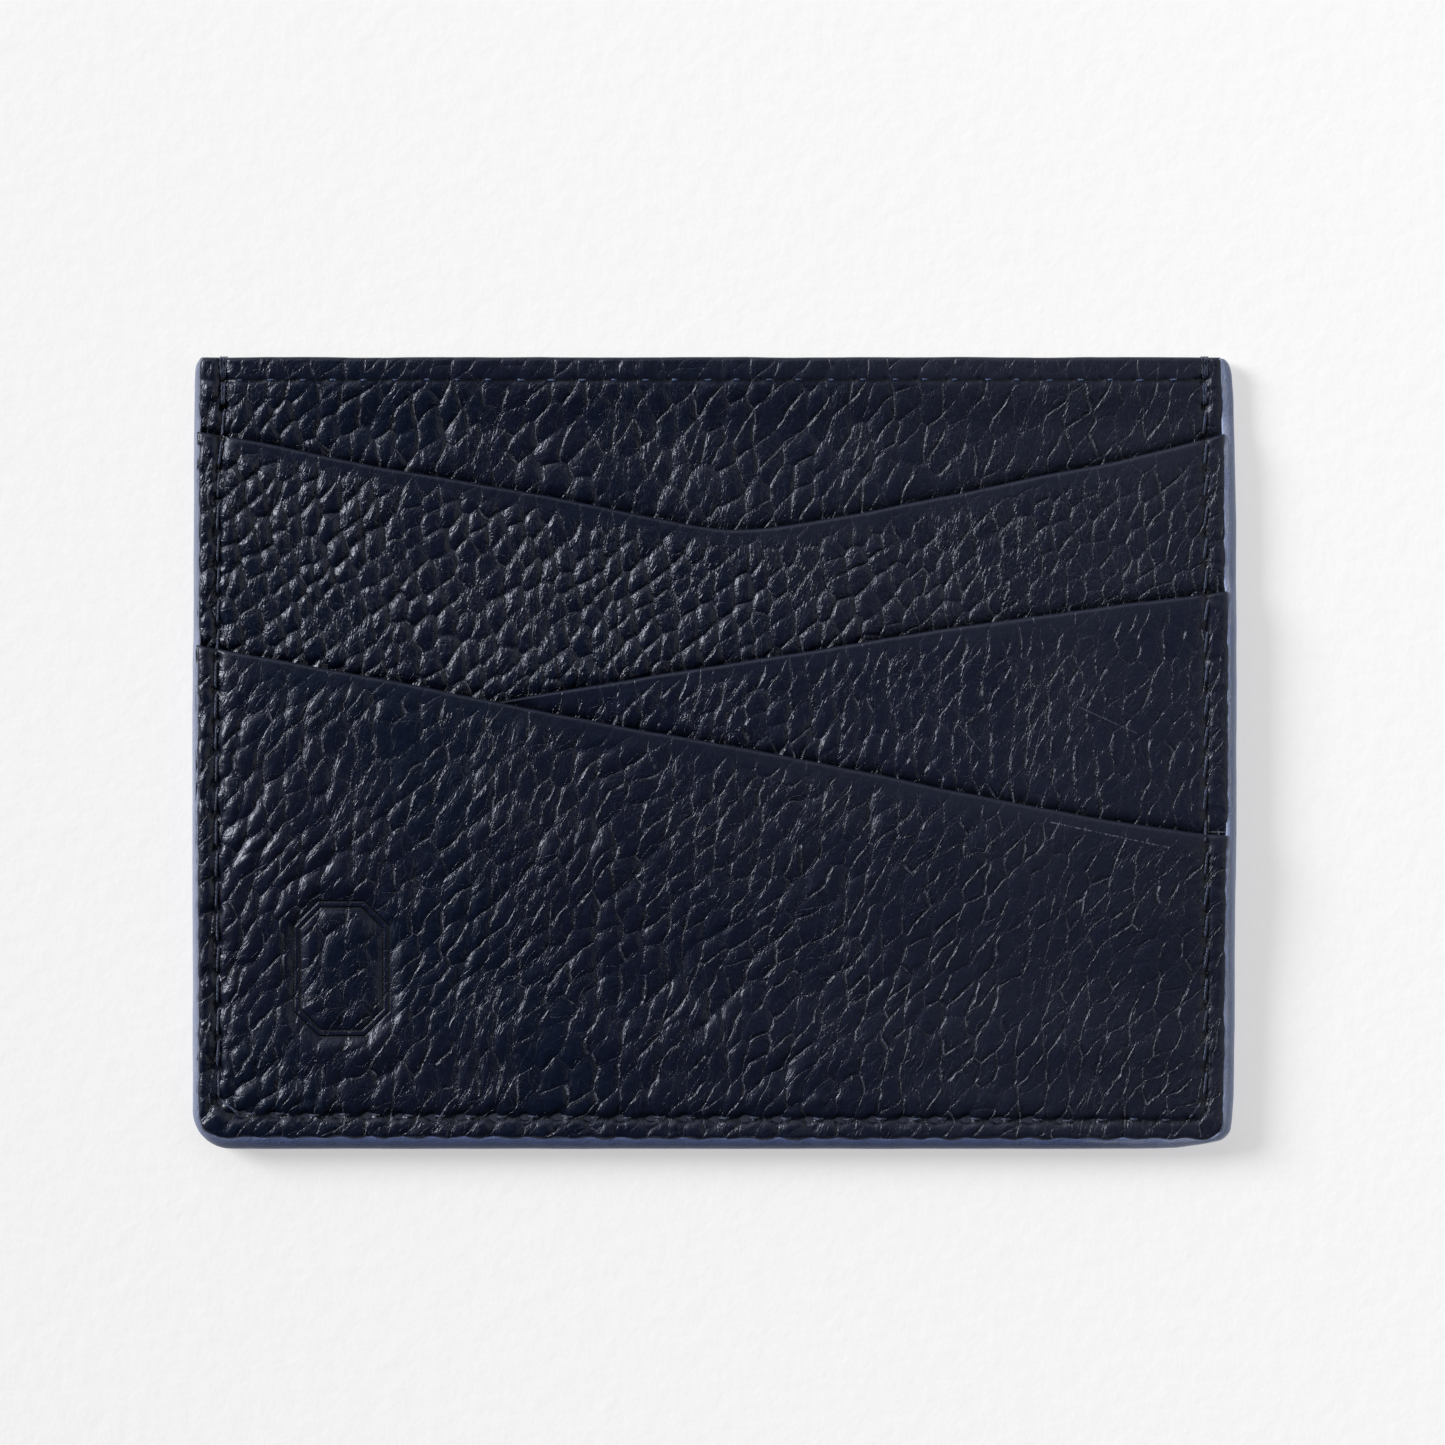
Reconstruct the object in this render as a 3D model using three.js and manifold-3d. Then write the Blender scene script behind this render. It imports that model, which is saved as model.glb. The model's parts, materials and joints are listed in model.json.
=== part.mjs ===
// Flat card holder in pebbled leather: two turned-edge body panels with a pocket between
// them, and three overlapping slot panels (a V-shaped mouth and two slanted mouths) on the
// front. It lies on its back: +Z out of the front face, +Y towards the pocket mouths, +X to
// the right. The origin is under the middle of the outline, on the surface it rests on.
// Millimetres throughout.
import * as THREE from "three";
import { mergeVertices } from "three/addons/utils/BufferGeometryUtils.js";
import Module from "manifold-3d";

const wasm = await Module();
wasm.setup();

// ---- driving dimensions ----------------------------------------------------------------
const WIDTH = 100; // over the painted edges
const HEIGHT = 75.8; // bottom edge paint to the thread over the top corners
const LEATHER = { left: -49.2, right: 48.9, bottom: -37.0, top: 37.6 }; // cut and folded edges
const CORNER = { bottomLeft: 3.2, bottomRight: 1.2, top: 0.7 };
const BODY_LEATHER = 0.65; // back and front panel
const SLOT_LEATHER = 0.45; // skived slot panels
const LINING = 0.12; // woven lining
const GLUE = 0.03; // glue line between lining or turned flange and leather
const TURNED = 0.25; // skived flange folded behind a mouth
const FLANGE_WIDTH = 6; // how far the turned flange reaches below the fold
const ROLL = 0.42; // half-width of the rolled fold at a mouth
const GAP_SHUT = 0.2; // pocket faces where the stitching pinches them
const SLOT_OPEN = 0.4; // an empty slot's inner height; the leather gives for a card
const POCKET_SHUT = 0.36; // the same in the centre pocket, whose mouth has a flange on both sides
const POCKET_OPEN = 0.6; // the empty centre pocket's inner height
const RIM_LIFT = 0.4; // stitched rim stands this far off the surface
const STITCH_X = 47.2; // side stitch lines
const STITCH_Y = -35.2; // bottom stitch line
const HEM_Y = 35.65; // stitch line of the turned top hems
const PITCH = 3.0; // stitch length
const THREAD = 0.4; // thread diameter
const SEAM = { upper: -18.9, middle: -26.9 }; // bottom seams of the two hidden pocket bags
const BAG_BOTTOM = { upper: -19.6, middle: -27.6 };

// Mouth lines, left to right.
const UPPER_MOUTH = [
  [-51, 30.95], [-43.2, 29.6], [-32.4, 27.35], [-18.8, 25.0], [-13.6, 24.0], [-8.1, 22.9],
  [-3.2, 22.0], [-0.4, 21.5], [2.3, 21.25], [5.2, 21.5], [12.8, 22.65], [23.1, 24.7],
  [32, 26.6], [37.8, 27.7], [51, 30.9],
];
const MIDDLE_MOUTH = [
  [-51, 0.95], [-20.9, 4.8], [-12.6, 6.2], [-4.9, 7.5], [4.3, 8.9], [22.7, 11.9],
  [37.8, 13.95], [51, 15.75],
];
const LOWER_MOUTH = [
  [-51, 10.6], [-37.1, 8.0], [-28.6, 6.35], [-18.8, 4.4], [-13.4, 3.3], [-0.6, 1.0],
  [7.2, -0.4], [23.5, -3.8], [34.7, -6.0], [46.8, -7.8], [51, -8.2],
];
// Where the two hidden strips end below the mouth that covers them.
const UPPER_STRIP_END = [[-51, -7.0], [51, 7.6]];
const MIDDLE_STRIP_END = [[-51, -7.0], [51, -15.6]];

// Blank cut-corner plaque debossed in the lower left of the front.
const PLAQUE = { x: -35.6, y: -20.7, w: 9.4, h: 13.2, cut: 2.5, line: 0.34, step: 0.64, depth: 0.14 };

// ---- the stack: how high each layer lies ------------------------------------------------
const lin = (v, pts) => {
  if (v <= pts[0][0]) return pts[0][1];
  for (let i = 1; i < pts.length; i++)
    if (v <= pts[i][0]) {
      const [a, b] = [pts[i - 1], pts[i]];
      return a[1] + ((b[1] - a[1]) * (v - a[0])) / (b[0] - a[0]);
    }
  return pts[pts.length - 1][1];
};
const COLS = [-51, -47.3, -43.4, -38, 38, 43.4, 47.3, 51];
const ROWS = [-38.6, -34.8, -31, -28, -24, -20, -16, -8, 31.2, 34.2, 38.6];

const openX = (x) => lin(Math.abs(x), [[38, 1], [43.4, 0.8], [47.3, 0]]);
const openBottom = (y) => lin(y, [[-34.8, 0], [-31, 0.7], [-28, 0.9], [-24, 1]]);
const shutTop = (y) => lin(y, [[31.2, 1], [34.2, 0]]);
const open = (x, y) => openX(x) * openBottom(y);
const slotGap = (x, y) => GAP_SHUT + (SLOT_OPEN - GAP_SHUT) * open(x, y);
// How much of each hidden layer is still there as the stack thins towards the bottom.
const upperStrip = (y) => lin(y, [[-16, 0], [-8, 1]]);
const middleStrip = (y) => lin(y, [[-20, 0], [-16, 1]]);
const upperBag = (y) => lin(y, [[-24, 0], [-20, 1]]);
const middleBag = (y) => lin(y, [[-31, 0], [-28, 1]]);

const z = {};
z.backPanel = (x, y) => RIM_LIFT * (1 - open(x, y) * shutTop(y));
z.backLining = (x, y) => z.backPanel(x, y) + BODY_LEATHER + GLUE;
z.frontLining = (x, y) =>
  z.backLining(x, y) + LINING + POCKET_SHUT + (POCKET_OPEN - POCKET_SHUT) * open(x, y);
z.frontPanel = (x, y) => z.frontLining(x, y) + LINING + GLUE;
z.frontTop = (x, y) => z.frontPanel(x, y) + BODY_LEATHER;
z.upperLining = (x, y) => z.frontTop(x, y) + slotGap(x, y);
z.upperPanel = (x, y) => z.upperLining(x, y) + (LINING + GLUE) * upperBag(y);
z.upperTop = (x, y) => z.upperPanel(x, y) + SLOT_LEATHER * upperStrip(y);
z.middleLining = (x, y) => z.upperTop(x, y) + slotGap(x, y);
z.middlePanel = (x, y) => z.middleLining(x, y) + (LINING + GLUE) * middleBag(y);
z.middleTop = (x, y) => z.middlePanel(x, y) + SLOT_LEATHER * middleStrip(y);
z.lowerLining = (x, y) => z.middleTop(x, y) + slotGap(x, y);
z.lowerPanel = (x, y) => z.lowerLining(x, y) + LINING + GLUE;
z.lowerTop = (x, y) => z.lowerPanel(x, y) + SLOT_LEATHER;

// The front surface: which panel is on top at a point.
const surface = (x, y) =>
  y < lin(x, LOWER_MOUTH) ? z.lowerTop(x, y)
  : y < lin(x, MIDDLE_MOUTH) ? z.middleTop(x, y)
  : y < lin(x, UPPER_MOUTH) ? z.upperTop(x, y)
  : z.frontTop(x, y);

// ---- solids -----------------------------------------------------------------------------
const solid = (geometry) => {
  const g = geometry.clone();
  g.deleteAttribute("normal");
  g.deleteAttribute("uv");
  const m = mergeVertices(g, 1e-5);
  return new wasm.Manifold(
    new wasm.Mesh({
      numProp: 3,
      vertProperties: new Float32Array(m.attributes.position.array),
      triVerts: new Uint32Array(m.index.array),
    }),
  );
};
// A displaced primitive can come out mirrored, so its faces are turned to point outwards.
const outwards = (g) => {
  const s = solid(g);
  if (s.volume() > 0) return s;
  const idx = g.index.array;
  for (let k = 0; k < idx.length; k += 3) [idx[k + 1], idx[k + 2]] = [idx[k + 2], idx[k + 1]];
  return solid(g);
};
const geometryOf = (s) => {
  const m = s.getMesh();
  const g = new THREE.BufferGeometry()
    .setAttribute("position", new THREE.BufferAttribute(new Float32Array(m.vertProperties), 3))
    .setIndex(new THREE.BufferAttribute(new Uint32Array(m.triVerts), 1))
    .toNonIndexed();
  g.computeVertexNormals();
  return g;
};

// A sheet between two height functions over the whole grid. Its upper and lower faces share
// one triangulation, so neighbouring sheets stay parallel.
const slab = (low, high) => {
  const nx = COLS.length - 1, ny = ROWS.length - 1;
  const face = new THREE.PlaneGeometry(1, 1, nx, ny); // rows run from +y to -y
  const n = face.attributes.position.count;
  const pos = new Float32Array(n * 6);
  for (let k = 0; k < n; k++) {
    const x = COLS[k % (nx + 1)], y = ROWS[ny - Math.floor(k / (nx + 1))];
    pos.set([x, y, high(x, y)], 3 * k);
    pos.set([x, y, low(x, y)], 3 * (n + k));
  }
  const idx = [];
  for (let t = 0; t < face.index.count; t += 3) {
    const [a, b, c] = [0, 1, 2].map((j) => face.index.getX(t + j));
    idx.push(a, b, c, n + a, n + c, n + b);
  }
  const rim = []; // counter-clockwise seen from above
  for (let i = 0; i < nx; i++) rim.push(ny * (nx + 1) + i);
  for (let j = ny; j > 0; j--) rim.push(j * (nx + 1) + nx);
  for (let i = nx; i > 0; i--) rim.push(i);
  for (let j = 0; j < ny; j++) rim.push(j * (nx + 1));
  rim.forEach((a, i) => {
    const b = rim[(i + 1) % rim.length];
    idx.push(a, n + a, n + b, a, n + b, b);
  });
  const g = new THREE.BufferGeometry()
    .setAttribute("position", new THREE.BufferAttribute(pos, 3));
  g.setIndex(idx);
  return solid(g);
};

const prism = (shape, from = -3, to = 14) => {
  const g = new THREE.ExtrudeGeometry(shape, {
    depth: to - from, bevelEnabled: false, curveSegments: 4, steps: 1,
  });
  g.translate(0, 0, from);
  return solid(g);
};
const polygon = (pts) => new THREE.Shape(pts.map(([x, y]) => new THREE.Vector2(x, y)));

// The outline that the cut leather edges share, with its rounded corners.
const outline = () => {
  const { left, right, bottom, top } = LEATHER, s = new THREE.Shape();
  const bl = CORNER.bottomLeft, br = CORNER.bottomRight, t = CORNER.top;
  s.moveTo(left, top - t);
  s.lineTo(left, bottom + bl);
  s.absarc(left + bl, bottom + bl, bl, Math.PI, 1.5 * Math.PI, false);
  s.lineTo(right - br, bottom);
  s.absarc(right - br, bottom + br, br, 1.5 * Math.PI, 2 * Math.PI, false);
  s.lineTo(right, top - t);
  s.absarc(right - t, top - t, t, 0, 0.5 * Math.PI, false);
  s.lineTo(left + t, top);
  s.absarc(left + t, top - t, t, 0.5 * Math.PI, Math.PI, false);
  return s;
};
const outlinePrism = prism(outline());
const down = (line, d) => line.map(([x, y]) => [x, y - d]);
// The part of the outline between two lines, the upper one first.
const band = (upper, lower) =>
  prism(polygon([...upper, ...lower.slice().reverse()])).intersect(outlinePrism);

// A rolled fold along a mouth: a rod of elliptical section, fused to the panel and flange.
const roll = (line, centre, halfHeight) => {
  const pts = [];
  line.forEach((p, i) => {
    if (i) {
      const q = line[i - 1], n = Math.max(1, Math.round((p[0] - q[0]) / 12));
      for (let k = 1; k < n; k++)
        pts.push([q[0] + ((p[0] - q[0]) * k) / n, q[1] + ((p[1] - q[1]) * k) / n]);
    }
    pts.push(p);
  });
  for (const c of COLS.slice(1, -1))
    if (!pts.some((p) => Math.abs(p[0] - c) < 1)) pts.push([c, lin(c, line)]);
  pts.sort((a, b) => a[0] - b[0]);
  const n = pts.length - 1;
  const g = new THREE.CylinderGeometry(1, 1, 1, 8, n);
  const p = g.attributes.position;
  for (let k = 0; k < p.count; k++) {
    const i = Math.round((p.getY(k) + 0.5) * n);
    const [x, y] = pts[i];
    const yy = y - ROLL + ROLL * p.getX(k);
    p.setXYZ(k, x, yy, centre(x, y - ROLL) + halfHeight * p.getZ(k));
  }
  return outwards(g);
};

// A leather panel with a mouth: skin, turned flange behind the mouth, and the rolled fold.
const turnedPanel = (bottomOf, thick, mouth, end) => {
  const top = (x, y) => bottomOf(x, y) + thick;
  const flangeHigh = (x, y) => bottomOf(x, y) - GLUE;
  const flangeLow = (x, y) => bottomOf(x, y) - GLUE - TURNED;
  const half = (thick + GLUE + TURNED) / 2;
  const skin = slab(bottomOf, top).intersect(band(down(mouth, ROLL), end));
  const flange = slab(flangeLow, flangeHigh).intersect(
    band(down(mouth, ROLL), down(mouth, FLANGE_WIDTH)),
  );
  const fold = roll(mouth, (x, y) => top(x, y) - half, half).intersect(outlinePrism);
  return skin.add(flange).add(fold);
};

// Sweeps a four-sided thread along stations, by displacing a segmented cylinder.
const tube = (stations, wide, high) => {
  const n = stations.length - 1;
  const g = new THREE.CylinderGeometry(1, 1, 1, 4, n);
  const p = g.attributes.position;
  for (let k = 0; k < p.count; k++) {
    const i = Math.round((p.getY(k) + 0.5) * n);
    const a = stations[Math.max(0, i - 1)], b = stations[Math.min(n, i + 1)], c = stations[i];
    const t = new THREE.Vector3().subVectors(b, a).normalize();
    const ref = c.ref || new THREE.Vector3(0, 0, 1); // points out of the surface
    const side = new THREE.Vector3().crossVectors(t, ref).normalize();
    const up = new THREE.Vector3().crossVectors(side, t).normalize();
    const q = c.clone()
      .addScaledVector(side, (wide / 2) * p.getX(k))
      .addScaledVector(up, (high / 2) * p.getZ(k));
    p.setXYZ(k, q.x, q.y, q.z);
  }
  return outwards(g);
};
// Points every half stitch along a plan path.
const walk = (corners, pitch) => {
  const path = new THREE.CurvePath();
  for (let i = 1; i < corners.length; i++)
    path.add(new THREE.LineCurve(new THREE.Vector2(...corners[i - 1]), new THREE.Vector2(...corners[i])));
  const n = Math.round(path.getLength() / pitch) * 2;
  return Array.from({ length: n + 1 }, (_, i) => path.getPointAt(i / n));
};

// ---- panels and linings -----------------------------------------------------------------
const X0 = -51, X1 = 51;
const TOP_LINE = [[X0, LEATHER.top], [X1, LEATHER.top]];
const BOTTOM_LINE = [[X0, -38.4], [X1, -38.4]];
const level = (y) => [[X0, y], [X1, y]];
const lining = (low, upper, lower) =>
  slab(low, (x, y) => low(x, y) + LINING).intersect(band(upper, lower));

const parts = {};

// The back panel's flange is folded up on to its inside face; the front panel's is folded back.
{
  const skin = slab(z.backPanel, (x, y) => z.backPanel(x, y) + BODY_LEATHER)
    .intersect(band(level(LEATHER.top - ROLL), BOTTOM_LINE));
  const low = z.backLining;
  const flange = slab(low, (x, y) => low(x, y) + TURNED)
    .intersect(band(level(LEATHER.top - ROLL), level(LEATHER.top - FLANGE_WIDTH)));
  const half = (BODY_LEATHER + GLUE + TURNED) / 2;
  const fold = roll(TOP_LINE, (x, y) => z.backPanel(x, y) + half, half).intersect(outlinePrism);
  parts.back_panel = skin.add(flange).add(fold);
}
parts.back_lining = lining(z.backLining, level(LEATHER.top - FLANGE_WIDTH - 0.3), BOTTOM_LINE);
parts.front_lining = lining(z.frontLining, level(LEATHER.top - FLANGE_WIDTH - 0.3), BOTTOM_LINE);
parts.front_panel = turnedPanel(z.frontPanel, BODY_LEATHER, TOP_LINE, BOTTOM_LINE);
parts.upper_slot_lining = lining(
  z.upperLining, down(UPPER_MOUTH, FLANGE_WIDTH + 0.3), level(BAG_BOTTOM.upper));
parts.upper_slot_panel = turnedPanel(z.upperPanel, SLOT_LEATHER, UPPER_MOUTH, UPPER_STRIP_END);
parts.middle_slot_lining = lining(
  z.middleLining, down(MIDDLE_MOUTH, FLANGE_WIDTH + 0.3), level(BAG_BOTTOM.middle));
parts.middle_slot_panel = turnedPanel(z.middlePanel, SLOT_LEATHER, MIDDLE_MOUTH, MIDDLE_STRIP_END);
parts.lower_slot_lining = lining(
  z.lowerLining, down(LOWER_MOUTH, FLANGE_WIDTH + 0.3), BOTTOM_LINE);
parts.lower_slot_panel = turnedPanel(z.lowerPanel, SLOT_LEATHER, LOWER_MOUTH, BOTTOM_LINE);

// Two fine lines debossed round a blank plaque.
{
  const { x, y, w, h, cut, line, step, depth } = PLAQUE;
  const octagon = (inset) => {
    const a = w / 2 - inset, b = h / 2 - inset, c = cut - 0.4142 * 2 * inset * 0.5;
    return [
      [-a + c, -b], [a - c, -b], [a, -b + c], [a, b - c], [a - c, b], [-a + c, b], [-a, b - c], [-a, -b + c],
    ].map(([u, v]) => [x + u, y + v]);
  };
  const floor = slab((px, py) => z.lowerTop(px, py) - depth, (px, py) => z.lowerTop(px, py) + 1);
  for (const inset of [0, step]) {
    const ring = polygon(octagon(inset));
    ring.holes.push(new THREE.Path(octagon(inset + line).map(([u, v]) => new THREE.Vector2(u, v))));
    parts.lower_slot_panel = parts.lower_slot_panel.subtract(floor.intersect(prism(ring)));
  }
}

// ---- painted edge -----------------------------------------------------------------------
// One domed coat round the left, bottom and right cut edges. It steps up where each slot
// panel joins the stack.
{
  const CLEAR = 0.06;
  const { left, right, bottom, top } = LEATHER;
  const wl = left - CLEAR + WIDTH / 2, wr = WIDTH / 2 - right - CLEAR, wb = HEIGHT / 2 + bottom - CLEAR;
  const rim = (x, y) => {
    const xx = Math.min(Math.abs(x), 49) * Math.sign(x);
    return surface(xx, y);
  };
  const st = [];
  const add = (x, y, dx, dy, w, zTop) => st.push({ x, y, dx, dy, w, zTop });
  const edge = (sx, xEdge, w, steps, from, to) => {
    const ys = [from, ...steps.flatMap((s) => [s + 0.22, s - 0.22]), -8, -16, -20, -24, -28, -31, to]
      .filter((v) => v <= from && v >= to);
    ys.sort((a, b) => b - a);
    return ys.map((yy) => ({ x: xEdge, y: yy, dx: sx, dy: 0, w, zTop: rim(xEdge, yy) }));
  };
  const bl = CORNER.bottomLeft, br = CORNER.bottomRight;
  const leftSteps = [lin(left, UPPER_MOUTH) - ROLL, lin(left, LOWER_MOUTH) - ROLL];
  const rightSteps = [
    lin(right, UPPER_MOUTH) - ROLL, lin(right, MIDDLE_MOUTH) - ROLL, lin(right, LOWER_MOUTH) - ROLL,
  ];
  edge(-1, left - CLEAR, wl, leftSteps, top - 0.25, bottom + bl).forEach((e) =>
    add(e.x, e.y, e.dx, e.dy, e.w, e.zTop));
  for (let i = 1; i <= 4; i++) {
    const a = Math.PI + (i * Math.PI) / 8, c = Math.cos(a), s = Math.sin(a);
    add(left + bl + (bl + CLEAR) * c, bottom + bl + (bl + CLEAR) * s, c, s,
      wl + ((wb - wl) * i) / 4, rim(left + bl + bl * c, -36));
  }
  add(0, bottom - CLEAR, 0, -1, wb, rim(0, -36));
  for (let i = 0; i <= 3; i++) {
    const a = 1.5 * Math.PI + (i * Math.PI) / 8, c = Math.cos(a), s = Math.sin(a);
    add(right - br + (br + CLEAR) * c, bottom + br + (br + CLEAR) * s, c, s,
      wb + ((wr - wb) * i) / 4, rim(right, -36));
  }
  edge(1, right + CLEAR, wr, rightSteps, top - 0.25, bottom + br).reverse().forEach((e) =>
    add(e.x, e.y, e.dx, e.dy, e.w, e.zTop));
  const n = st.length - 1;
  const DOME = [[-1, 0.35], [-0.72, 0.8], [0, 1], [0.72, 0.8], [1, 0.35]];
  const g = new THREE.BoxGeometry(1, 1, 1, 1, DOME.length - 1, n);
  const p = g.attributes.position;
  for (let k = 0; k < p.count; k++) {
    const s = st[Math.round((p.getZ(k) + 0.5) * n)];
    const [t, bulge] = DOME[Math.round((p.getY(k) + 0.5) * (DOME.length - 1))];
    const out = p.getX(k) > 0 ? s.w * bulge : 0;
    const mid = (s.zTop + RIM_LIFT) / 2, half = (s.zTop - RIM_LIFT) / 2;
    p.setXYZ(k, s.x + s.dx * out, s.y + s.dy * out, mid + half * t);
  }
  parts.edge_coat = outwards(g);
}

// ---- threads ----------------------------------------------------------------------------
const LIFT = 0.03; // thread lies this far off the leather
const U = [[-STITCH_X, 34.4], [-STITCH_X, STITCH_Y + 1.6], [-STITCH_X + 1.6, STITCH_Y],
  [STITCH_X - 1.4, STITCH_Y], [STITCH_X, STITCH_Y + 1.4], [STITCH_X, 34.4]];
{
  const half = THREAD / 2;
  const pts = walk(U, PITCH).map((p, i) => ({ x: p.x, y: p.y, up: i % 2 ? 0.1 : 0 }));
  const out = [];
  const mouths = (x) => (x < 0 ? [UPPER_MOUTH, LOWER_MOUTH] : [UPPER_MOUTH, MIDDLE_MOUTH, LOWER_MOUTH])
    .map((m) => lin(x, m));
  const at = (x, y, up) => new THREE.Vector3(x, y, surface(x, y) + LIFT + half + up);
  pts.forEach((p, i) => {
    const near = Math.abs(p.x) > 47 ? mouths(p.x).find((m) => Math.abs(p.y - m) < 1.35) : undefined;
    if (near === undefined) out.push(at(p.x, p.y, p.up));
    const q = pts[i + 1];
    if (!q || Math.abs(p.x) < 47 || Math.abs(q.x) < 47) return;
    const hit = mouths(p.x).filter((m) => (p.y - m) * (q.y - m) <= 0);
    hit.forEach((m) => {
      const hi = new THREE.Vector3(p.x, m + 0.12, surface(p.x, m - 0.6) + LIFT + half + 0.05);
      const hi2 = new THREE.Vector3(p.x, m - 1.3, surface(p.x, m - 1.3) + LIFT + half);
      const lo = new THREE.Vector3(p.x, m + 1.25, surface(p.x, m + 1.25) + LIFT + half);
      out.push(...(p.y > q.y ? [lo, hi, hi2] : [hi2, hi, lo]));
    });
  });
  parts.perimeter_thread_front = tube(out, THREAD, THREAD);
  // On the back the same seam shows under the lifted rim.
  parts.perimeter_thread_back = tube(
    walk(U, PITCH).map((p, i) =>
      new THREE.Vector3(p.x, p.y, z.backPanel(p.x, p.y) - LIFT - 0.13 - (i % 2 ? 0.04 : 0))),
    0.36, 0.26);
}
{
  const hem = walk([[-46.2, HEM_Y], [46.2, HEM_Y]], PITCH);
  parts.front_hem_thread = tube(
    hem.map((p, i) => new THREE.Vector3(p.x, p.y, z.frontTop(p.x, p.y) + LIFT + 0.17 + (i % 2 ? 0.06 : 0))),
    0.36, 0.34);
  parts.back_hem_thread = tube(
    hem.map((p, i) => new THREE.Vector3(p.x, p.y, z.backPanel(p.x, p.y) - LIFT - 0.13 - (i % 2 ? 0.04 : 0))),
    0.34, 0.26);
}
// Backstitches over the top edge close the centre pocket at both ends.
for (const [name, x] of [["left_end_backstitch", -STITCH_X], ["right_end_backstitch", STITCH_X]]) {
  const zt = z.frontTop(x, 36) + LIFT + 0.13, zb = z.backPanel(x, 36) - LIFT - 0.13;
  const yo = HEIGHT / 2 - 0.13, pts = [];
  const put = (y, zz, ny, nz) => {
    const v = new THREE.Vector3(x, y, zz);
    v.ref = new THREE.Vector3(0, ny, nz).normalize();
    pts.push(v);
  };
  put(34.95, zt, 0, 1); put(36.2, zt + 0.04, 0, 1); put(yo - 0.45, zt, 0, 1);
  put(yo - 0.1, zt - 0.12, 1, 1); put(yo, zt - 0.4, 1, 0); put(yo, zb + 0.4, 1, 0);
  put(yo - 0.1, zb + 0.12, 1, -1); put(yo - 0.45, zb, 0, -1); put(36.2, zb - 0.04, 0, -1);
  put(34.95, zb, 0, -1);
  parts[name] = tube(pts, 0.7, 0.26);
}
// Seams along the bottoms of the two hidden pocket bags.
for (const [name, y, low] of [
  ["upper_slot_seam_thread", SEAM.upper, z.upperLining],
  ["middle_slot_seam_thread", SEAM.middle, z.middleLining],
])
  parts[name] = tube(
    walk([[-43, y], [43, y]], PITCH).map((p, i) =>
      new THREE.Vector3(p.x, p.y, low(p.x, p.y) + LINING + LIFT + 0.12 + (i % 2 ? 0.04 : 0))),
    0.28, 0.24);

// ---- scene graph ------------------------------------------------------------------------
const leather = (hex = 0x1f232e) => ({ color: hex, roughness: 0.5, metalness: 0 });
const fabric = { color: 0x1b1d28, roughness: 0.9, metalness: 0 };
const thread = { color: 0x1e2340, roughness: 0.6, metalness: 0 };
const LOOKS = {
  back_panel: leather(), front_panel: leather(0x20242f), upper_slot_panel: leather(0x222632),
  middle_slot_panel: leather(0x1e222d), lower_slot_panel: leather(0x21252f),
  edge_coat: { color: 0x4d546a, roughness: 0.42, metalness: 0 },
};
const holder = new THREE.Group();
holder.name = "card_holder";
for (const [name, s] of Object.entries(parts)) {
  const look = LOOKS[name] || (name.includes("lining") ? fabric : thread);
  const mesh = new THREE.Mesh(geometryOf(s), new THREE.MeshStandardMaterial(look));
  mesh.name = name;
  holder.add(mesh);
}
export default holder;
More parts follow.
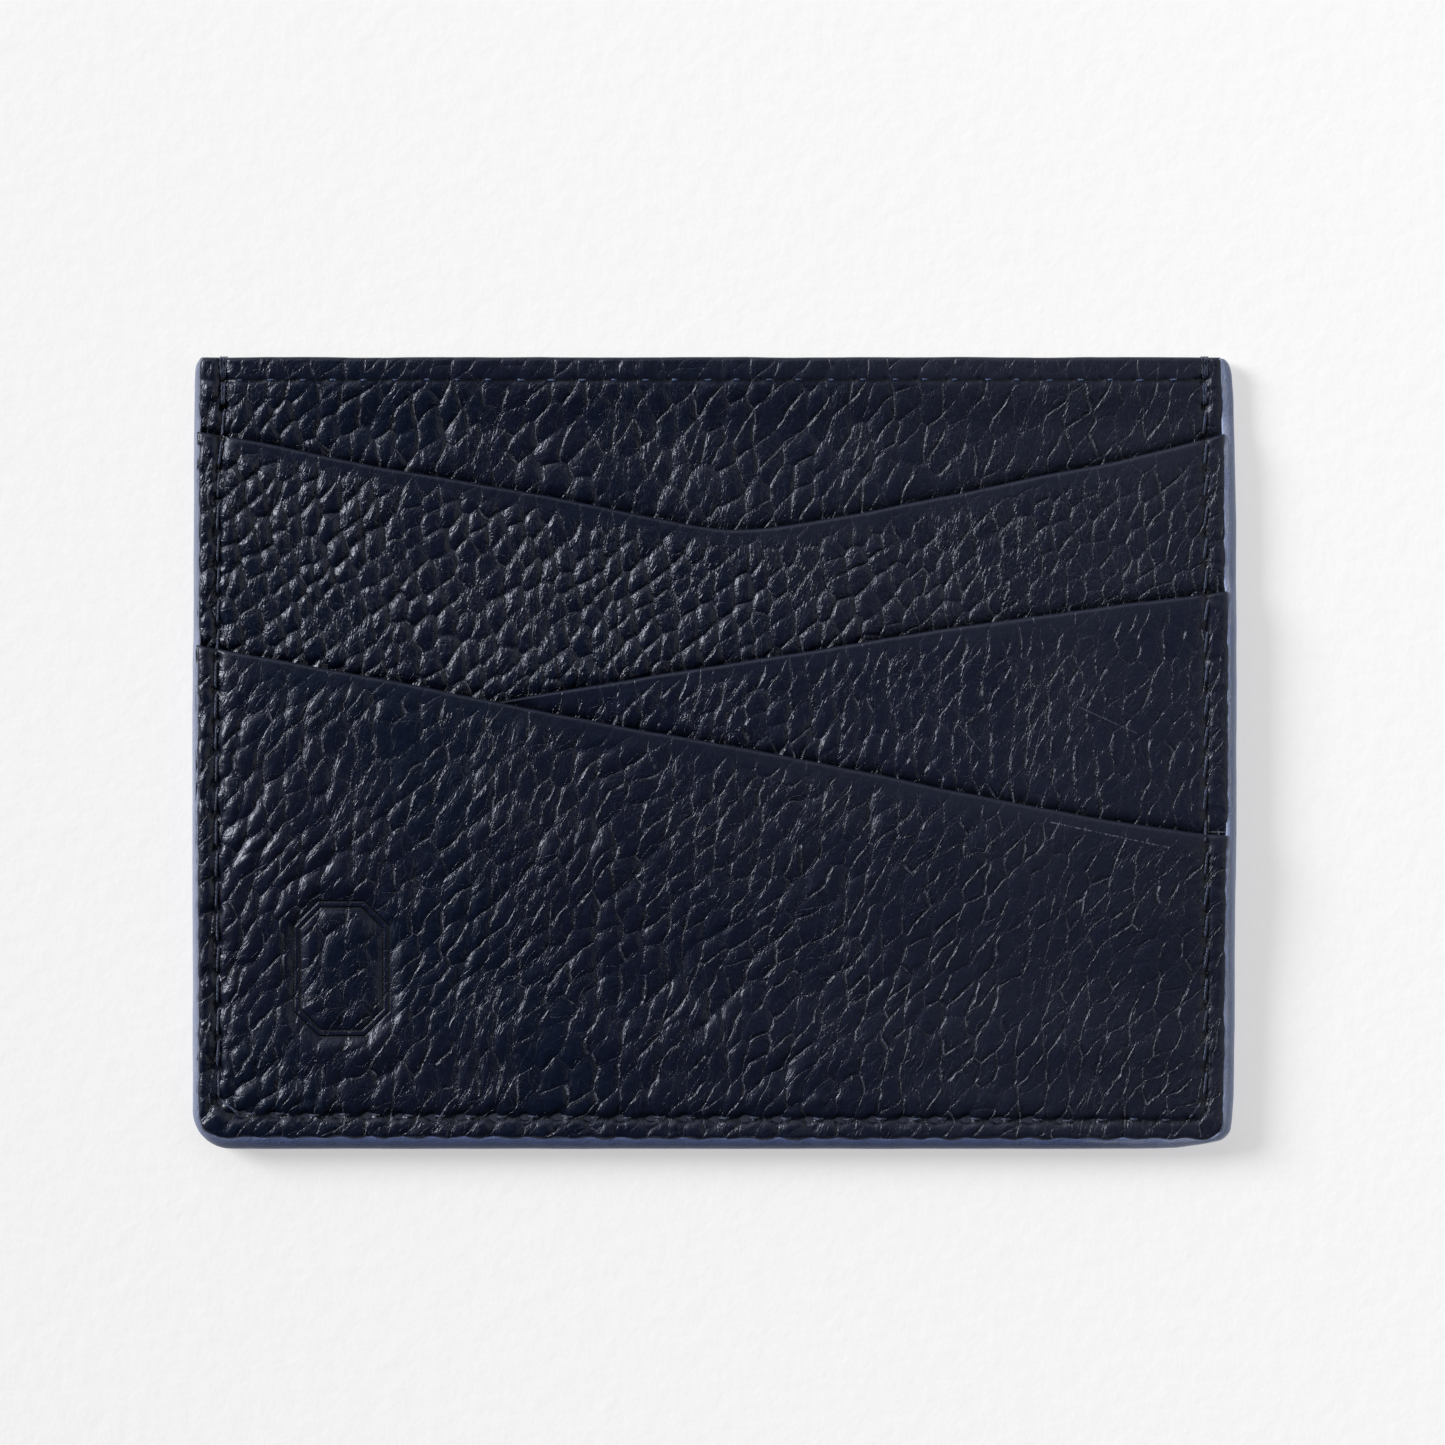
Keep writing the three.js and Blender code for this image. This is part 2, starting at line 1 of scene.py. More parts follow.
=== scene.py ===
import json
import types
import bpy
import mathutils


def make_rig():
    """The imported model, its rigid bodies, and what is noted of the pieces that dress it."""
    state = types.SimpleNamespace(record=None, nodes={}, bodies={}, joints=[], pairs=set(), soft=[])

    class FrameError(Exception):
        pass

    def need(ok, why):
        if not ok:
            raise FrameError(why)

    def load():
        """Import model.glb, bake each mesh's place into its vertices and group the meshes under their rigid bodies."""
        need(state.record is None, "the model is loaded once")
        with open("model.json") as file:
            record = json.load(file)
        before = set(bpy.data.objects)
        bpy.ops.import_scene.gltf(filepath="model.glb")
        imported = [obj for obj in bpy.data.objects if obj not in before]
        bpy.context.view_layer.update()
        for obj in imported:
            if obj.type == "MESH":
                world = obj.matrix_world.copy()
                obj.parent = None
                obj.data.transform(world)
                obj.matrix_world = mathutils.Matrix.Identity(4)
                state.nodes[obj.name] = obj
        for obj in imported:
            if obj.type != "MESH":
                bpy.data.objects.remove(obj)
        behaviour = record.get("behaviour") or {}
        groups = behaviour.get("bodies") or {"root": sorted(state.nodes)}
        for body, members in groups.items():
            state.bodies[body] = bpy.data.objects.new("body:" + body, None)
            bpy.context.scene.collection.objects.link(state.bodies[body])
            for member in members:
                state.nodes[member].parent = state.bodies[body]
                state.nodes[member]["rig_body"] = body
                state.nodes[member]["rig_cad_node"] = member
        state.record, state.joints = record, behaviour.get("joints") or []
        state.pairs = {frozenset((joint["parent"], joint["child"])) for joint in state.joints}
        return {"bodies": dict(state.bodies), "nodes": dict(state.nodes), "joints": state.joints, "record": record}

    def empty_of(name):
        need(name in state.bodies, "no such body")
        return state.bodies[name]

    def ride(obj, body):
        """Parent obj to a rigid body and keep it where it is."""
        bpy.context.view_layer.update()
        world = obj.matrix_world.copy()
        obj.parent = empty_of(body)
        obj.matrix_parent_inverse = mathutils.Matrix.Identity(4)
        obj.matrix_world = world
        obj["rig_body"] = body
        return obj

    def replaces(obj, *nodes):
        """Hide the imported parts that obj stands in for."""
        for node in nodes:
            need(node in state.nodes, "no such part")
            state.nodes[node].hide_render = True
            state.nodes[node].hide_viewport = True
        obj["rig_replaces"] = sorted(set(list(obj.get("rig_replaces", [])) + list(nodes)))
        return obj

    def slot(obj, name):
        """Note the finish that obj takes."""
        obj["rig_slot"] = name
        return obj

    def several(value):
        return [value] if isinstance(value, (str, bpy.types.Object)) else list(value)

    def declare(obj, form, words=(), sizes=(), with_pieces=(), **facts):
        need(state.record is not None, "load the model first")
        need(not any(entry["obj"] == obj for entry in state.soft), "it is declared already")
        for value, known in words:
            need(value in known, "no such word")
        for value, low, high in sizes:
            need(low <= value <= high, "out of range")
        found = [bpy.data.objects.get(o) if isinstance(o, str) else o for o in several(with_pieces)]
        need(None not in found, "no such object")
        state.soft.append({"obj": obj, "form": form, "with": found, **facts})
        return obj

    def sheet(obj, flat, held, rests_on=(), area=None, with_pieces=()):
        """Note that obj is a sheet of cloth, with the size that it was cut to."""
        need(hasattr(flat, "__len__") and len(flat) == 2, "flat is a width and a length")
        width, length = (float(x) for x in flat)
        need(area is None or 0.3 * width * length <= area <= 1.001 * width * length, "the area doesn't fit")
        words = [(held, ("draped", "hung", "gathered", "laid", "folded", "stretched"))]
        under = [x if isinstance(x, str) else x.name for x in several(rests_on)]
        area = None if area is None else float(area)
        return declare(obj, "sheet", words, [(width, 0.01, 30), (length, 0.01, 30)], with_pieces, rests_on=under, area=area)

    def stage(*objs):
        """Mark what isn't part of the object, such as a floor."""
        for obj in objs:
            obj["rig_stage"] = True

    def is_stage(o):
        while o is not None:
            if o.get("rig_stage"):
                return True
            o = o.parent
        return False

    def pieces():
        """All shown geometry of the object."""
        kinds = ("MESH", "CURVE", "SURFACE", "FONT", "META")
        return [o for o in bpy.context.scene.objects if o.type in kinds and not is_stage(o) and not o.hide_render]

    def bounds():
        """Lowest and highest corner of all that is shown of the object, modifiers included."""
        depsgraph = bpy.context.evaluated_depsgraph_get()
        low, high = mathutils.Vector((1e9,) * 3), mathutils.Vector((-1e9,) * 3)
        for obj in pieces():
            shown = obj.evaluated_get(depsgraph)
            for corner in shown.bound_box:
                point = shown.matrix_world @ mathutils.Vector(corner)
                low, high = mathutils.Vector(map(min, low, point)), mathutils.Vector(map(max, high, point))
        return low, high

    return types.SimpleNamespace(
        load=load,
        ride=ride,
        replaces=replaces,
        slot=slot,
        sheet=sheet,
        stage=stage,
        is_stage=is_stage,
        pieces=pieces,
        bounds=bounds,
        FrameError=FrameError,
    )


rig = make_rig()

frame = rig.load()
CAD_BOX = [list(map(float, v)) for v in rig.bounds()]

import bpy
import json
import math
import numpy as np

scene = bpy.context.scene
MM = 0.001
rng = np.random.default_rng(7)

# ------------------------------------------------------------------ dimensions, in mm
BODY, SLOT, LINING, GLUE, TURNED = 0.65, 0.45, 0.12, 0.03, 0.25
SHUT, SLOT_OPEN, POCKET_SHUT, POCKET_OPEN, RIM_LIFT = 0.2, 0.4, 0.36, 0.6, 0.4
ROLL = 0.42
TOP, BOTTOM = 37.82, -37.0
PITCH = 3.0

UPPER = np.array([(-51, 31.0), (-43.2, 29.6), (-32.4, 27.35), (-18.8, 25.05), (-13.6, 24.05), (-8.1, 22.9),
                  (-3.2, 21.95), (-0.6, 21.45), (2.3, 21.15), (5.2, 21.45), (12.8, 22.65), (23.1, 24.7),
                  (32, 26.6), (37.8, 27.65), (51, 30.95)])
MIDDLE = np.array([(-51, 0.95), (-20.9, 4.8), (-12.6, 6.2), (-4.9, 7.5), (4.3, 8.9), (22.7, 11.9),
                   (37.8, 13.95), (51, 15.65)])
LOWER = np.array([(-51, 10.6), (-47.3, 9.8), (-37.1, 8.0), (-28.6, 6.4), (-18.8, 4.4), (-13.4, 3.3), (-0.6, 1.0),
                  (7.2, -0.4), (23.5, -3.8), (34.7, -6.0), (46.8, -7.9), (51, -8.1)])


def sst(a, b, x):
    t = np.clip((x - a) / (b - a), 0, 1)
    return t * t * (3 - 2 * t)


def puff(d, w, p=2.3):
    return 1 - (1 - np.clip(d / w, 0, 1)) ** p


def wave(x, seed, scale, octaves=3):
    """Smooth repeatable 1-D noise, about -1 to 1."""
    out, amp = 0.0, 1.0
    for k in range(octaves):
        f = 2.0 ** k / scale
        a = seed * 12.9898 + k * 4.1
        out = out + amp * (np.sin(x * f * 2.1 + a) * 0.6 + np.sin(x * f * 3.37 + 2.3 * a + 1.7) * 0.4)
        amp *= 0.5
    return out / 1.6


def wave2(x, y, seed, scale, octaves=2):
    """Smooth repeatable 2-D noise, about -1 to 1."""
    out, amp = 0.0, 1.0
    for k in range(octaves):
        f = 2.0 ** k / scale
        a = seed * 7.77 + k * 2.9
        out = out + amp * (np.sin(f * (1.9 * x + 0.8 * y) + a) * np.cos(f * (1.6 * y - 0.7 * x) + 1.3 * a)
                           + 0.5 * np.sin(f * (3.1 * y + 1.2 * x) + 2.1 * a))
        amp *= 0.5
    return out / 1.9


def smooth_line(pts, soft=1.2):
    """A polyline as a function, with its corners eased over about 2*soft mm."""
    xs = np.linspace(-52, 52, 2081)
    ys = np.interp(xs, pts[:, 0], pts[:, 1])
    k = np.exp(-0.5 * (np.arange(-80, 81) * 0.05 / soft) ** 2)
    pad = np.concatenate([ys[0] + (ys[1] - ys[0]) * np.arange(-80, 0), ys, ys[-1] + (ys[-1] - ys[-2]) * np.arange(1, 81)])
    ys = np.convolve(pad, k / k.sum(), "valid")
    return lambda x: np.interp(x, xs, ys)


_u, _m, _l = smooth_line(UPPER, 1.3), smooth_line(MIDDLE, 2.0), smooth_line(LOWER, 2.0)
upper_mouth = lambda x: _u(x) + 0.05 * wave(x, 1, 5.0)
middle_mouth = lambda x: _m(x) + 0.05 * wave(x, 2, 6.0)
lower_mouth = lambda x: _l(x) + 0.06 * wave(x, 3, 5.0)
hem_top = lambda x: TOP + 0.05 * wave(x, 4, 7.0) + 0.0 * x

# ------------------------------------------------------------------ outline
CL, CR = 2.3, 1.7  # bottom corner radii of the leather


def x_left(y):
    top = np.clip((np.asarray(y, float) - (TOP - 0.75)) / 0.75, 0, 1)
    return -49.36 + 0.035 * wave(y, 11, 2.2) + 0.035 * np.sin(2 * np.pi * (y - 1.0) / PITCH) + 0.45 * (1 - np.sqrt(1 - 0.96 * top ** 2))


def x_right(y):
    base = np.interp(y, [-37, -30, -12, -8.6, -7.4, -6, 12, 14.8, 16.0, 20, 33, 37.6],
                     [48.6, 48.75, 48.85, 48.9, 49.06, 49.1, 49.1, 49.06, 48.9, 48.85, 48.72, 48.5])
    return base + 0.035 * wave(y, 12, 2.0) + 0.03 * np.sin(2 * np.pi * y / PITCH)


def y_bottom(x):
    base = -36.95 + 0.05 * wave(x, 13, 2.6) + 0.08 * np.sin(2 * np.pi * (x + 0.7) / PITCH) - 0.12 * sst(-30, 10, x)
    dl = np.clip((-49.36 + CL) - x, 0, CL)
    dr = np.clip(x - (48.6 - CR), 0, CR)
    return base + CL - np.sqrt(np.maximum(CL ** 2 - dl ** 2, 0)) + CR - np.sqrt(np.maximum(CR ** 2 - dr ** 2, 0))


# ------------------------------------------------------------------ stitch lines
def stitch_path():
    """The seam that runs down the left side, along the bottom and up the right side."""
    pts = [(-47.0, 33.05), (-47.1, 30.4), (-47.35, 27.6), (-47.5, 26.0), (-47.48, -20.0), (-47.4, -32.9)]
    for a in np.linspace(180, 270, 7)[1:]:
        pts.append((-46.0 + 1.4 * math.cos(math.radians(a)), -33.25 + 1.4 * math.sin(math.radians(a))))
    pts += [(-30, -34.8), (0, -35.05), (30, -35.2), (45.5, -35.22)]
    for a in np.linspace(270, 360, 7)[1:]:
        pts.append((45.55 + 1.35 * math.cos(math.radians(a)), -33.87 + 1.35 * math.sin(math.radians(a))))
    pts += [(46.95, -20), (46.98, 20), (46.98, 33.1)]
    p = np.array(pts, float)
    seg = np.hypot(*np.diff(p, axis=0).T)
    s = np.concatenate([[0], np.cumsum(seg)])
    return p, s


SP, SS = stitch_path()


def on_path(s):
    return np.stack([np.interp(s, SS, SP[:, 0]), np.interp(s, SS, SP[:, 1])], -1)


N_ST = int(round(SS[-1] / PITCH))
HOLES = on_path(np.linspace(0, SS[-1], N_ST + 1))
HOLES = HOLES + 0.05 * rng.standard_normal(HOLES.shape)
HEM_Y = 35.62
HEM_HOLES = np.stack([np.linspace(-46.2, 46.1, 32), np.full(32, HEM_Y)], -1)
HEM_HOLES = HEM_HOLES + np.array([0.06, 0.03]) * rng.standard_normal(HEM_HOLES.shape)
SIDE_L, SIDE_R = -47.42, 46.97


def seam_x(y):
    """x of the left and right seam at a height."""
    left = np.interp(y, [-34, -32.9, -20, 26, 29, 31.6, 36], [-47.2, -47.4, -47.48, -47.5, -47.3, -47.05, -47.05])
    return left, np.full_like(np.asarray(y, float), 46.97)


def inside(x, y):
    """Distance inwards from the seam: negative on the strip between seam and edge."""
    l, r = seam_x(y)
    b = np.interp(x, [-46, -30, 0, 30, 45.5], [-34.65, -34.8, -35.05, -35.2, -35.22])
    dx = np.minimum(x - l, r - x)
    dy = y - b
    rad = 1.4
    cx, cy = rad - dx, rad - dy
    corner = rad - np.hypot(np.maximum(cx, 0), np.maximum(cy, 0))
    return np.where((cx > 0) & (cy > 0), corner, np.minimum(dx, dy))


def edge_in(x, y):
    """Distance inwards from the cut edge of the leather, left, right and bottom."""
    return np.minimum(np.minimum(x - x_left(y), x_right(y) - x), y - y_bottom(x))


# ------------------------------------------------------------------ the stack of sheets
def open_at(x, y):
    return puff(np.minimum(x + 47.3, 47.0 - x), 9.5) * puff(y + 35.1, 9.5)


def z_back(x, y):
    return RIM_LIFT * (1 - open_at(x, y) * (1 - sst(30.6, 35.2, y)))


def stack(x, y):
    """Underside of each layer, bottom up."""
    o = open_at(x, y)
    gap = SHUT + (SLOT_OPEN - SHUT) * o
    z = {"back": z_back(x, y)}
    z["back_lining"] = z["back"] + BODY + GLUE
    z["front_lining"] = z["back_lining"] + LINING + POCKET_SHUT + (POCKET_OPEN - POCKET_SHUT) * o
    z["front"] = z["front_lining"] + LINING + GLUE
    z["front_top"] = z["front"] + BODY
    z["upper_lining"] = z["front_top"] + gap
    z["upper"] = z["upper_lining"] + (LINING + GLUE) * sst(-24, -20, y)
    z["upper_top"] = z["upper"] + SLOT * sst(-17, -6, y)
    z["middle_lining"] = z["upper_top"] + gap
    z["middle"] = z["middle_lining"] + (LINING + GLUE) * sst(-31, -28, y)
    z["middle_top"] = z["middle"] + SLOT * sst(-22, -14, y)
    z["lower_lining"] = z["middle_top"] + gap
    z["lower"] = z["lower_lining"] + LINING + GLUE
    z["lower_top"] = z["lower"] + SLOT
    return z


def pits(x, y, holes, depth, r):
    out = np.zeros_like(x)
    for hx, hy in holes:
        m = (np.abs(x - hx) < 3 * r) & (np.abs(y - hy) < 3 * r)
        if m.any():
            out[m] += np.exp(-(((x[m] - hx) ** 2 + (y[m] - hy) ** 2) / r ** 2) ** 0.8)
    return depth * np.minimum(out, 1)


END_HOLES = np.array([(-47.05, 35.75), (-46.85, 35.62), (-47.0, 33.05), (46.98, 35.7), (46.8, 35.62), (46.98, 33.1)])


def quilting(x, y, hem):
    """How stitches, cut edges and handling shape a leather surface. Returns (dz, darkness), where the darkness is a
    painted shade in the needle holes and along the seam and hem grooves.
    """
    d = inside(x, y)
    s = np.where(np.minimum(x - SIDE_L, SIDE_R - x) < y + 35.0, y, x)
    e = edge_in(x, y)
    low = y < 33.4
    calm = 1 - 0.45 * sst(30, 42, x)
    dz = -0.26 * calm * np.exp(-(d / 0.34) ** 2)
    side = (1 - 0.7 * sst(30, 42, x)) * (1 - 0.6 * sst(-33.0, -34.5, y))
    dz += 0.085 * side * np.exp(-((d - 1.5) / 1.0) ** 2) * (0.9 + 0.45 * wave(s, 21, 1.7))
    dz += 0.10 * side * calm * np.exp(-((d + 1.0) / 0.5) ** 2) * (1 - 0.8 * pits(x, y, HOLES, 1.0, 1.3)) * (0.9 + 0.5 * wave(s, 22, 0.9))
    p = np.minimum(1, 1.25 * pits(x, y, HOLES, 1.0, 0.40))
    wide = pits(x, y, HOLES, 1.0, 0.95)
    far = 1 - 0.85 * sst(30, 42, x)
    dz += -0.30 * far * p - 0.12 * far * wide
    # short puckers that run away from each hole
    dz += 0.045 * np.exp(-(d / 1.3) ** 2) * wave2(0.55 * d + 3, s, 8, 0.55) * np.clip(np.abs(d) / 0.5, 0, 1)
    # painted shade in the needle holes
    dark = p
    if hem:
        f = sst(-47.2, -46.2, x) * (1 - sst(46.0, 47.0, x))
        dz += -0.03 * np.exp(-((y - HEM_Y) / 0.30) ** 2) * (0.25 + 0.75 * f) * (1 + 0.6 * wave(x, 25, 0.6))
        dz += 0.03 * np.exp(-((y - HEM_Y - 0.95) / 0.6) ** 2) * wave(x, 23, 1.1)
        q = pits(x, y, HEM_HOLES, 1.0, 0.22)
        k = pits(x, y, END_HOLES, 1.0, 0.34)
        dz += -0.14 * q - 0.34 * k
        # painted shade in the hem holes and end holes, and a painted shade line along the hem groove
        dark = np.maximum(np.maximum(dark, q), k)
        dark = np.maximum(dark, (0.75 + 0.2 * wave(x, 26, 0.4)) * np.exp(-((y - HEM_Y) / 0.17) ** 2) * f)
    # painted shade along the seam groove
    groove = 0.75 * np.exp(-(d / 0.22) ** 2)
    dark = np.maximum(dark, groove)
    dz += -0.30 * np.exp(-np.maximum(e, 0) / 0.16) - 0.06 * np.exp(-np.maximum(e, 0) / 0.6)
    dz += 0.05 * wave2(x, y, 5, 9.0) * np.clip(d / 5, 0, 1)
    dz += 0.045 * wave2(x, y, 6, 0.9) * np.clip(1 - (d + 0.3) / 1.2, 0, 1)
    return dz, dark


# ------------------------------------------------------------------ mesh helpers
def collect(name, verts, quads, ngons=(), attrs=None, smooth=True):
    """A mesh object from mm arrays. attrs maps a name to per-vertex floats or vectors."""
    me = bpy.data.meshes.new(name)
    quads = np.asarray(quads, np.int32).reshape(-1, 4)
    loops = quads.reshape(-1)
    starts = np.arange(len(quads)) * 4
    totals = np.full(len(quads), 4)
    for n in ngons:
        starts = np.append(starts, len(loops))
        totals = np.append(totals, len(n))
        loops = np.concatenate([loops, np.asarray(n, np.int32)])
    me.vertices.add(len(verts))
    me.vertices.foreach_set("co", (np.asarray(verts, np.float64) * MM).astype(np.float32).reshape(-1))
    me.loops.add(len(loops))
    me.loops.foreach_set("vertex_index", loops.astype(np.int32))
    me.polygons.add(len(starts))
    me.polygons.foreach_set("loop_start", starts.astype(np.int32))
    me.polygons.foreach_set("loop_total", totals.astype(np.int32))
    me.update(calc_edges=True)
    me.validate()
    me.polygons.foreach_set("use_smooth", np.full(len(me.polygons), smooth))
    for k, v in (attrs or {}).items():
        v = np.asarray(v, np.float32)
        if v.ndim == 1:
            a = me.attributes.new(k, "FLOAT", "POINT")
            a.data.foreach_set("value", v)
        else:
            a = me.attributes.new(k, "FLOAT_VECTOR", "POINT")
            a.data.foreach_set("vector", v.reshape(-1))
    ob = bpy.data.objects.new(name, me)
    scene.collection.objects.link(ob)
    return ob


def grid_quads(rows, cols, base=0, loop_rows=False, flip=False):
    i, j = np.meshgrid(np.arange(rows if loop_rows else rows - 1), np.arange(cols - 1), indexing="ij")
    a = base + i * cols + j
    b = base + ((i + 1) % rows) * cols + j
    q = np.stack([a, a + 1, b + 1, b], -1).reshape(-1, 4)
    return q[:, ::-1] if flip else q


def columns(step):
    """Column positions over the width, closer together beside the edges."""
    l, r = -49.36, 48.85
    parts = [l + np.array([0, 0.06, 0.14, 0.26, 0.4]), np.arange(l + 0.56, r - 0.5, step), r - np.array([0.4, 0.26, 0.14, 0.06, 0])]
    return np.concatenate(parts)


def place_x(X, y):
    """Moves the base columns so that the outer ones follow the outline."""
    wl = np.clip(1 - (X + 49.22) / 2.5, 0, 1) ** 1.5
    wr = np.clip(1 - (48.85 - X) / 2.5, 0, 1) ** 1.5
    return X + wl * (x_left(y) + 49.22) + wr * (x_right(y) - 48.85)


def beside(x, y, *mouths):
    """The leather dips where it slides under the next mouth, and a painted shade darkens it there. Returns (dz, 0,
    painted shade).
    """
    dz, dark = np.zeros_like(x), np.zeros_like(x)
    for mouth in mouths:
        d = y - mouth(x)
        near = np.exp(-(np.maximum(d, 0) / 0.75) ** 1.4) * (d > -1.5)
        dz = np.minimum(dz, -0.24 * near)
        reach = 0.55 + 0.25 * wave(x, 61, 1.6)
        # painted shade on the leather just under each mouth edge
        dark = np.maximum(dark, 0.93 * np.exp(-(np.maximum(d, 0) / reach) ** 1.6) * (d > -1.5))
    return dz, 0 * dz, dark


def leather_sheet(name, layer, thick, mouth, lower, end, step, n_vis, n_hid, hem=False, extra=None, grain_at=(0, 0),
                  up=True, n_under=7):
    """One leather panel as a closed sheet: skin, rolled fold at the mouth and the turned flange behind it."""
    X = columns(step)
    half = (thick + GLUE + TURNED) / 2
    ym, yl, ye = mouth(X), lower(X), end(X)
    rows = []  # (y, z offset, kind amp, arc)
    t = np.linspace(0, 1, n_hid, endpoint=False)
    ys = [ye + (yl - ye) * v for v in t] if n_hid else []
    vis = np.linspace(0, 1, n_vis)
    ys += [yl + (ym - ROLL - yl) * v for v in vis]
    kind = [1.0] * len(ys)
    zoff = [np.zeros_like(X)] * len(ys)
    arc = list(ys)
    for k in range(1, 13):
        a = math.pi * k / 12
        ys.append(ym - ROLL + ROLL * math.sin(a) ** 0.9)
        zoff.append(np.full_like(X, -half + half * math.copysign(abs(math.cos(a)) ** 0.9, math.cos(a))))
        kind.append(0.0)
        arc.append(ym - ROLL + ROLL * a)
    for v in (1.6, 3.0, 4.6, 6.0):
        ys.append(ym - v)
        zoff.append(np.full_like(X, -2 * half))
        kind.append(-1.0)
        arc.append(ym + 1.0 + v)
    tail = np.linspace(0, 1, n_under)
    for v in tail:
        ys.append(ym - 6.25 + (ye - ym + 6.25) * v)
        zoff.append(np.full_like(X, -thick))
        kind.append(-1.0)
        arc.append(ym + 7.3 + v)
    Y = np.array(ys)
    K = np.array(kind)[:, None] * np.ones_like(Y)
    ZO = np.array(zoff)
    ARC = np.array(arc)
    XX = place_x(X[None, :] * np.ones_like(Y), Y)
    ycalc = np.minimum(Y, ym[None, :] - ROLL)  # the roll keeps the height of its own root
    if up:
        zt = stack(XX, ycalc)[layer] + thick
    else:
        zt = z_back(XX, ycalc)
    dz, dark = quilting(XX, Y, hem)
    top = (K > 0.5)
    dz = np.where(K >= 0, dz, dz * 0.0)
    dz = np.where((K == 0), dz * np.clip((ZO + 2 * half) / (2 * half), 0, 1), dz)
    if extra is not None:
        # painted shade from the shaping beside the mouths, where it gives any
        more, flat, shade = extra(XX, Y)
        dark = np.maximum(dark, shade)
    else:
        more, flat = np.zeros_like(Y), np.zeros_like(Y)
    # the mouth stands a little proud where the leather is doubled
    lift = 0.05 * sst(0, 1, np.clip(1 - (ym[None, :] - Y) / 7.0, 0, 1)) * np.clip(inside(XX, Y) / 3, 0, 1)
    droop = -0.09 * np.clip(1 - (ym[None, :] - Y) / 1.5, 0, 1) ** 2
    dz = dz + np.where(K >= 0, droop, 0) * (0.8 + 0.3 * wave(XX, 53, 2.5))
    Z = zt + ZO * 1.0 + (dz + np.where(top, more, 0)) + np.where(K >= 0, lift, 0)
    fade = 2.6 + 0.5 * wave(XX, 51, 3.0)
    low = 0.5 if hem else 0.13
    amp = np.where(top, low + (1 - low) * sst(0.55 if not hem else 1.9, fade, ym[None, :] - Y), low)
    amp = amp * (1.0 + 0.32 * (1 - sst(-48, -18, XX)) - 0.24 * sst(-20, 42, XX)) * (0.92 + 0.14 * wave2(XX, Y, 52, 14.0))
    amp = np.where(K < 0, 0.0, amp) * (1 - 0.85 * flat)
    if hem:  # the stitches hold the grain down
        amp = amp * (1 - 0.85 * np.exp(-((Y - HEM_Y) / 0.45) ** 2))
    amp = amp * np.clip(0.35 + edge_in(XX, Y) / 0.5, 0.3, 1)
    dark = np.where(top | (K == 0), dark, 0)
    if not up:  # mirrored: the skin faces down
        Z = zt - ZO - (dz + np.where(top, more, 0)) + 0 * lift
    verts = np.stack([XX, Y, Z], -1).reshape(-1, 3)
    rest = np.stack([XX + grain_at[0], ARC + grain_at[1], np.zeros_like(XX)], -1).reshape(-1, 3)
    R, C = Y.shape
    quads = grid_quads(R, C, loop_rows=True, flip=not up)
    left = [r * C for r in range(R)]
    right = [r * C + C - 1 for r in range(R)]
    caps = [left, right[::-1]] if up else [left[::-1], right]
    # the hole attribute carries the painted shade of the needle holes, grooves and mouth edges
    ob = collect(name, verts, quads, caps, {
        "rest": rest, "amp": amp.reshape(-1), "hole": dark.reshape(-1),
        "relief": (amp * (1 - 0.5 * sst(2, 38, XX))).reshape(-1),
        # rougher finish toward the right, which also lifts the colour there as a painted haze
        "matte_and_painted_haze": (sst(-20, 42, XX) * (1 + 0.3 * wave2(XX, Y, 54, 11.0))).reshape(-1)})
    return ob


